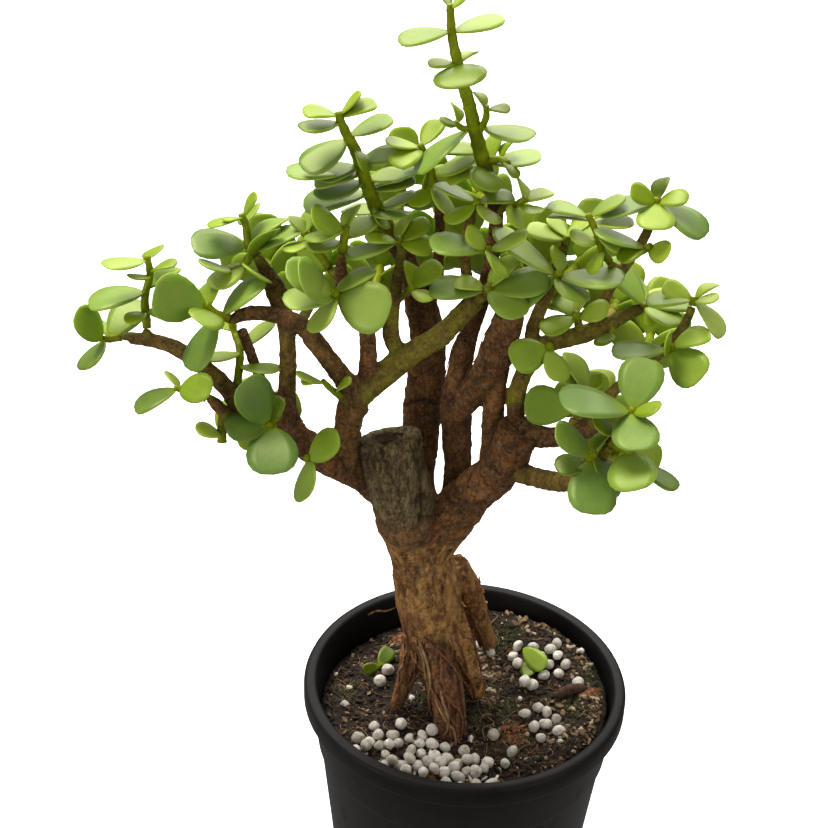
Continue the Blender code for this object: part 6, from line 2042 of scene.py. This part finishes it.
def add_floor(settings):
    """A pale floor that neither tints nor mirrors in the bonsai."""
    bpy.ops.mesh.primitive_plane_add(size=FLOOR_SIZE, location=(0, 0, 0))
    floor = bpy.context.object
    floor.name = "studio_floor"
    only(floor)
    bpy.ops.object.mode_set(mode="EDIT")
    bpy.ops.mesh.select_all(action="SELECT")
    bpy.ops.mesh.subdivide(number_cuts=3)
    bpy.ops.object.mode_set(mode="OBJECT")
    floor.data.materials.append(floor_finish(settings))
    floor.visible_diffuse = False
    floor.visible_glossy = False


def add_air(settings):
    """Soft even light from all round."""
    world = bpy.data.worlds.new("studio_air")
    bpy.context.scene.world = world
    world.use_nodes = True
    air = world.node_tree.nodes["Background"]
    air.inputs["Color"].default_value = (*settings.air, 1.0)
    air.inputs["Strength"].default_value = settings.air_strength


def add_lamps(settings):
    """The round soft lamps and the daylight."""
    for name, (place, size, power, colour) in LAMPS.items():
        bpy.ops.object.light_add(type="AREA", location=place)
        lamp = bpy.context.object
        lamp.name = name
        lamp.data.shape = "DISK"
        lamp.data.size = size
        lamp.data.energy = power * settings.lamp_strength
        lamp.data.color = colour
        lamp.rotation_euler = (Vector(LAMP_AIM) - Vector(place)).to_track_quat("-Z", "Y").to_euler()
    bpy.ops.object.light_add(type="SUN", location=SUN_PLACE)
    sun = bpy.context.object
    sun.name = "daylight"
    sun.data.energy = settings.daylight
    sun.data.angle = math.radians(SUN_SPREAD)
    sun.data.color = SUN_COLOUR
    sun.rotation_euler = Vector(SUN_FROM).to_track_quat("Z", "Y").to_euler()


def add_camera():
    """The picture's camera."""
    bpy.ops.object.camera_add(location=EYE)
    camera = bpy.context.object
    camera.name = "picture_camera"
    camera.rotation_euler = VIEW.to_euler()
    camera.data.sensor_width = SENSOR
    camera.data.lens = FOCAL / PICTURE_SIDE * SENSOR
    camera.data.clip_start = NEAREST_SEEN
    camera.data.clip_end = FARTHEST_SEEN
    bpy.context.scene.camera = camera


def build_stage(settings):
    """A pale floor, a soft white surround, soft lamps and the picture's camera."""
    bpy.context.scene.view_settings.view_transform = "Standard"
    add_floor(settings)
    add_air(settings)
    add_lamps(settings)
    add_camera()


def colour_setting(name, description, default):
    return bpy.props.FloatVectorProperty(
        name=name, description=description, default=default, size=3, min=0.0, max=1.0, subtype="COLOR")


class BonsaiPotSettings(bpy.types.PropertyGroup):
    """The pot's and the soil's finishes."""

    plastic: colour_setting("Pot plastic", "Main colour of the moulded pot", (0.0036, 0.0031, 0.0027))
    damp: colour_setting("Damp soil", "Colour of the soil in its hollows", (0.007, 0.005, 0.004))
    dry: colour_setting("Dry soil", "Colour of the soil's dry grains", (0.042, 0.021, 0.010))
    prill: colour_setting("Prill", "Pale colour of the feed prills", (0.90, 0.86, 0.77))
    prill_shade: colour_setting("Prill shade", "Darker colour of the feed prills", (0.56, 0.525, 0.455))


class BonsaiWoodSettings(bpy.types.PropertyGroup):
    """The bark's colours."""

    limb: colour_setting("Limb bark", "Main colour of the limbs", (0.26, 0.112, 0.033))
    limb_dark: colour_setting("Dark limb bark", "Colour of the limbs' dark bark", (0.085, 0.037, 0.011))
    scar: colour_setting("Ring scars", "Colour of the raised rings", (0.21, 0.135, 0.07))
    trunk: colour_setting("Trunk bark", "Colour of the trunk's flaking bark", (0.43, 0.220, 0.070))
    fissure: colour_setting("Trunk fissures", "Colour of the trunk's cracks", (0.125, 0.055, 0.018))


class BonsaiLeafSettings(bpy.types.PropertyGroup):
    """The leaves' and green stems' colours."""

    deep: colour_setting("Deep green", "Colour of the shaded leaves", (0.055, 0.100, 0.0005))
    sage: colour_setting("Sage green", "Colour of most leaves", (0.255, 0.375, 0.004))
    bright: colour_setting("Bright green", "Colour of the palest leaves", (0.48, 0.60, 0.105))
    root: colour_setting("Leaf root", "Colour below, and where a leaf meets its stem", (0.25, 0.33, 0.005))
    old_leaf: colour_setting("Old leaf", "Blue-green of the large old leaves", (0.175, 0.300, 0.075))
    # The pale colour of the rim, a painted highlight, and of the flecks
    edge: colour_setting("Leaf edge", "Pale colour of the leaf's rim and flecks", (0.56, 0.68, 0.19))
    old_stem: colour_setting("Woody stem", "Colour of a shoot's woody end", (0.085, 0.058, 0.010))


class BonsaiStageSettings(bpy.types.PropertyGroup):
    """The studio round the bonsai."""

    floor: colour_setting("Floor", "Colour of the floor", (0.90, 0.90, 0.895))
    air: colour_setting("Surround", "Colour of the light from all round", (1.0, 0.975, 0.93))
    air_strength: bpy.props.FloatProperty(
        name="Surround strength", description="Strength of the light from all round", default=0.37, min=0.0,
        subtype="FACTOR", soft_max=2.0)
    daylight: bpy.props.FloatProperty(
        name="Daylight", description="Strength of the soft light from above", default=3.9, min=0.0,
        subtype="FACTOR", soft_max=6.0)
    lamp_strength: bpy.props.FloatProperty(
        name="Lamp strength", description="Multiplies the power of every lamp", default=1.0, min=0.0,
        subtype="FACTOR", soft_max=4.0)


class BONSAI_OT_pot(bpy.types.Operator):
    """Build the black nursery pot"""

    bl_idname = "bonsai.pot"
    bl_label = "Nursery Pot"

    def execute(self, context):
        build_pot(context.scene.bonsai_pot)
        return {"FINISHED"}


class BONSAI_OT_soil(bpy.types.Operator):
    """Build the potting mix with its crumbs"""

    bl_idname = "bonsai.soil"
    bl_label = "Potting Mix"

    def execute(self, context):
        build_soil(context.scene.bonsai_pot)
        build_crumbs()
        return {"FINISHED"}


class BONSAI_OT_prills(bpy.types.Operator):
    """Scatter the feed prills and perlite"""

    bl_idname = "bonsai.prills"
    bl_label = "Feed Prills"

    def execute(self, context):
        build_prills(context.scene.bonsai_pot)
        return {"FINISHED"}


class BONSAI_OT_litter(bpy.types.Operator):
    """Lay the bark chip, dry fibres and moss"""

    bl_idname = "bonsai.litter"
    bl_label = "Soil Litter"

    def execute(self, context):
        build_litter()
        return {"FINISHED"}


class BONSAI_OT_wood(bpy.types.Operator):
    """Build the trunk, limbs and roots with their bark, fine roots and flakes"""

    bl_idname = "bonsai.wood"
    bl_label = "Old Wood"

    def execute(self, context):
        build_wood(context.scene.bonsai_wood)
        build_root_strands()
        build_bark_flakes()
        return {"FINISHED"}


class BONSAI_OT_shoots(bpy.types.Operator):
    """Grow the leafy shoots and the seedlings"""

    bl_idname = "bonsai.shoots"
    bl_label = "Leafy Shoots"

    def execute(self, context):
        build_shoots(context.scene.bonsai_leaf)
        build_seedlings(context.scene.bonsai_leaf)
        return {"FINISHED"}


class BONSAI_OT_stage(bpy.types.Operator):
    """Set the studio floor, light and camera"""

    bl_idname = "bonsai.stage"
    bl_label = "Studio"

    def execute(self, context):
        build_stage(context.scene.bonsai_stage)
        return {"FINISHED"}


class BONSAI_PT_panel(bpy.types.Panel):
    """Lists the bonsai's settings and its builders"""

    bl_label = "Dwarf Jade Bonsai"
    bl_idname = "BONSAI_PT_panel"
    bl_space_type = "VIEW_3D"
    bl_region_type = "UI"
    bl_category = "Bonsai"

    def draw(self, context):
        for group in SETTINGS:
            box = self.layout.box()
            holder = getattr(context.scene, group)
            for name in holder.__annotations__:
                box.prop(holder, name)
        for operator in OPERATORS:
            self.layout.operator(operator.bl_idname)


SETTINGS = {
    "bonsai_pot": BonsaiPotSettings,
    "bonsai_wood": BonsaiWoodSettings,
    "bonsai_leaf": BonsaiLeafSettings,
    "bonsai_stage": BonsaiStageSettings,
}
OPERATORS = (BONSAI_OT_pot, BONSAI_OT_soil, BONSAI_OT_prills, BONSAI_OT_litter, BONSAI_OT_wood,
             BONSAI_OT_shoots, BONSAI_OT_stage)


def register():
    for kind in (*SETTINGS.values(), *OPERATORS, BONSAI_PT_panel):
        bpy.utils.register_class(kind)
    for name, kind in SETTINGS.items():
        setattr(bpy.types.Scene, name, bpy.props.PointerProperty(type=kind))


def unregister():
    for name in SETTINGS:
        delattr(bpy.types.Scene, name)
    for kind in reversed((*SETTINGS.values(), *OPERATORS, BONSAI_PT_panel)):
        bpy.utils.unregister_class(kind)


def main():
    register()
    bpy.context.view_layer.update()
    for operator in OPERATORS:
        group, name = operator.bl_idname.split(".")
        getattr(getattr(bpy.ops, group), name)()


if __name__ == "__main__":
    main()
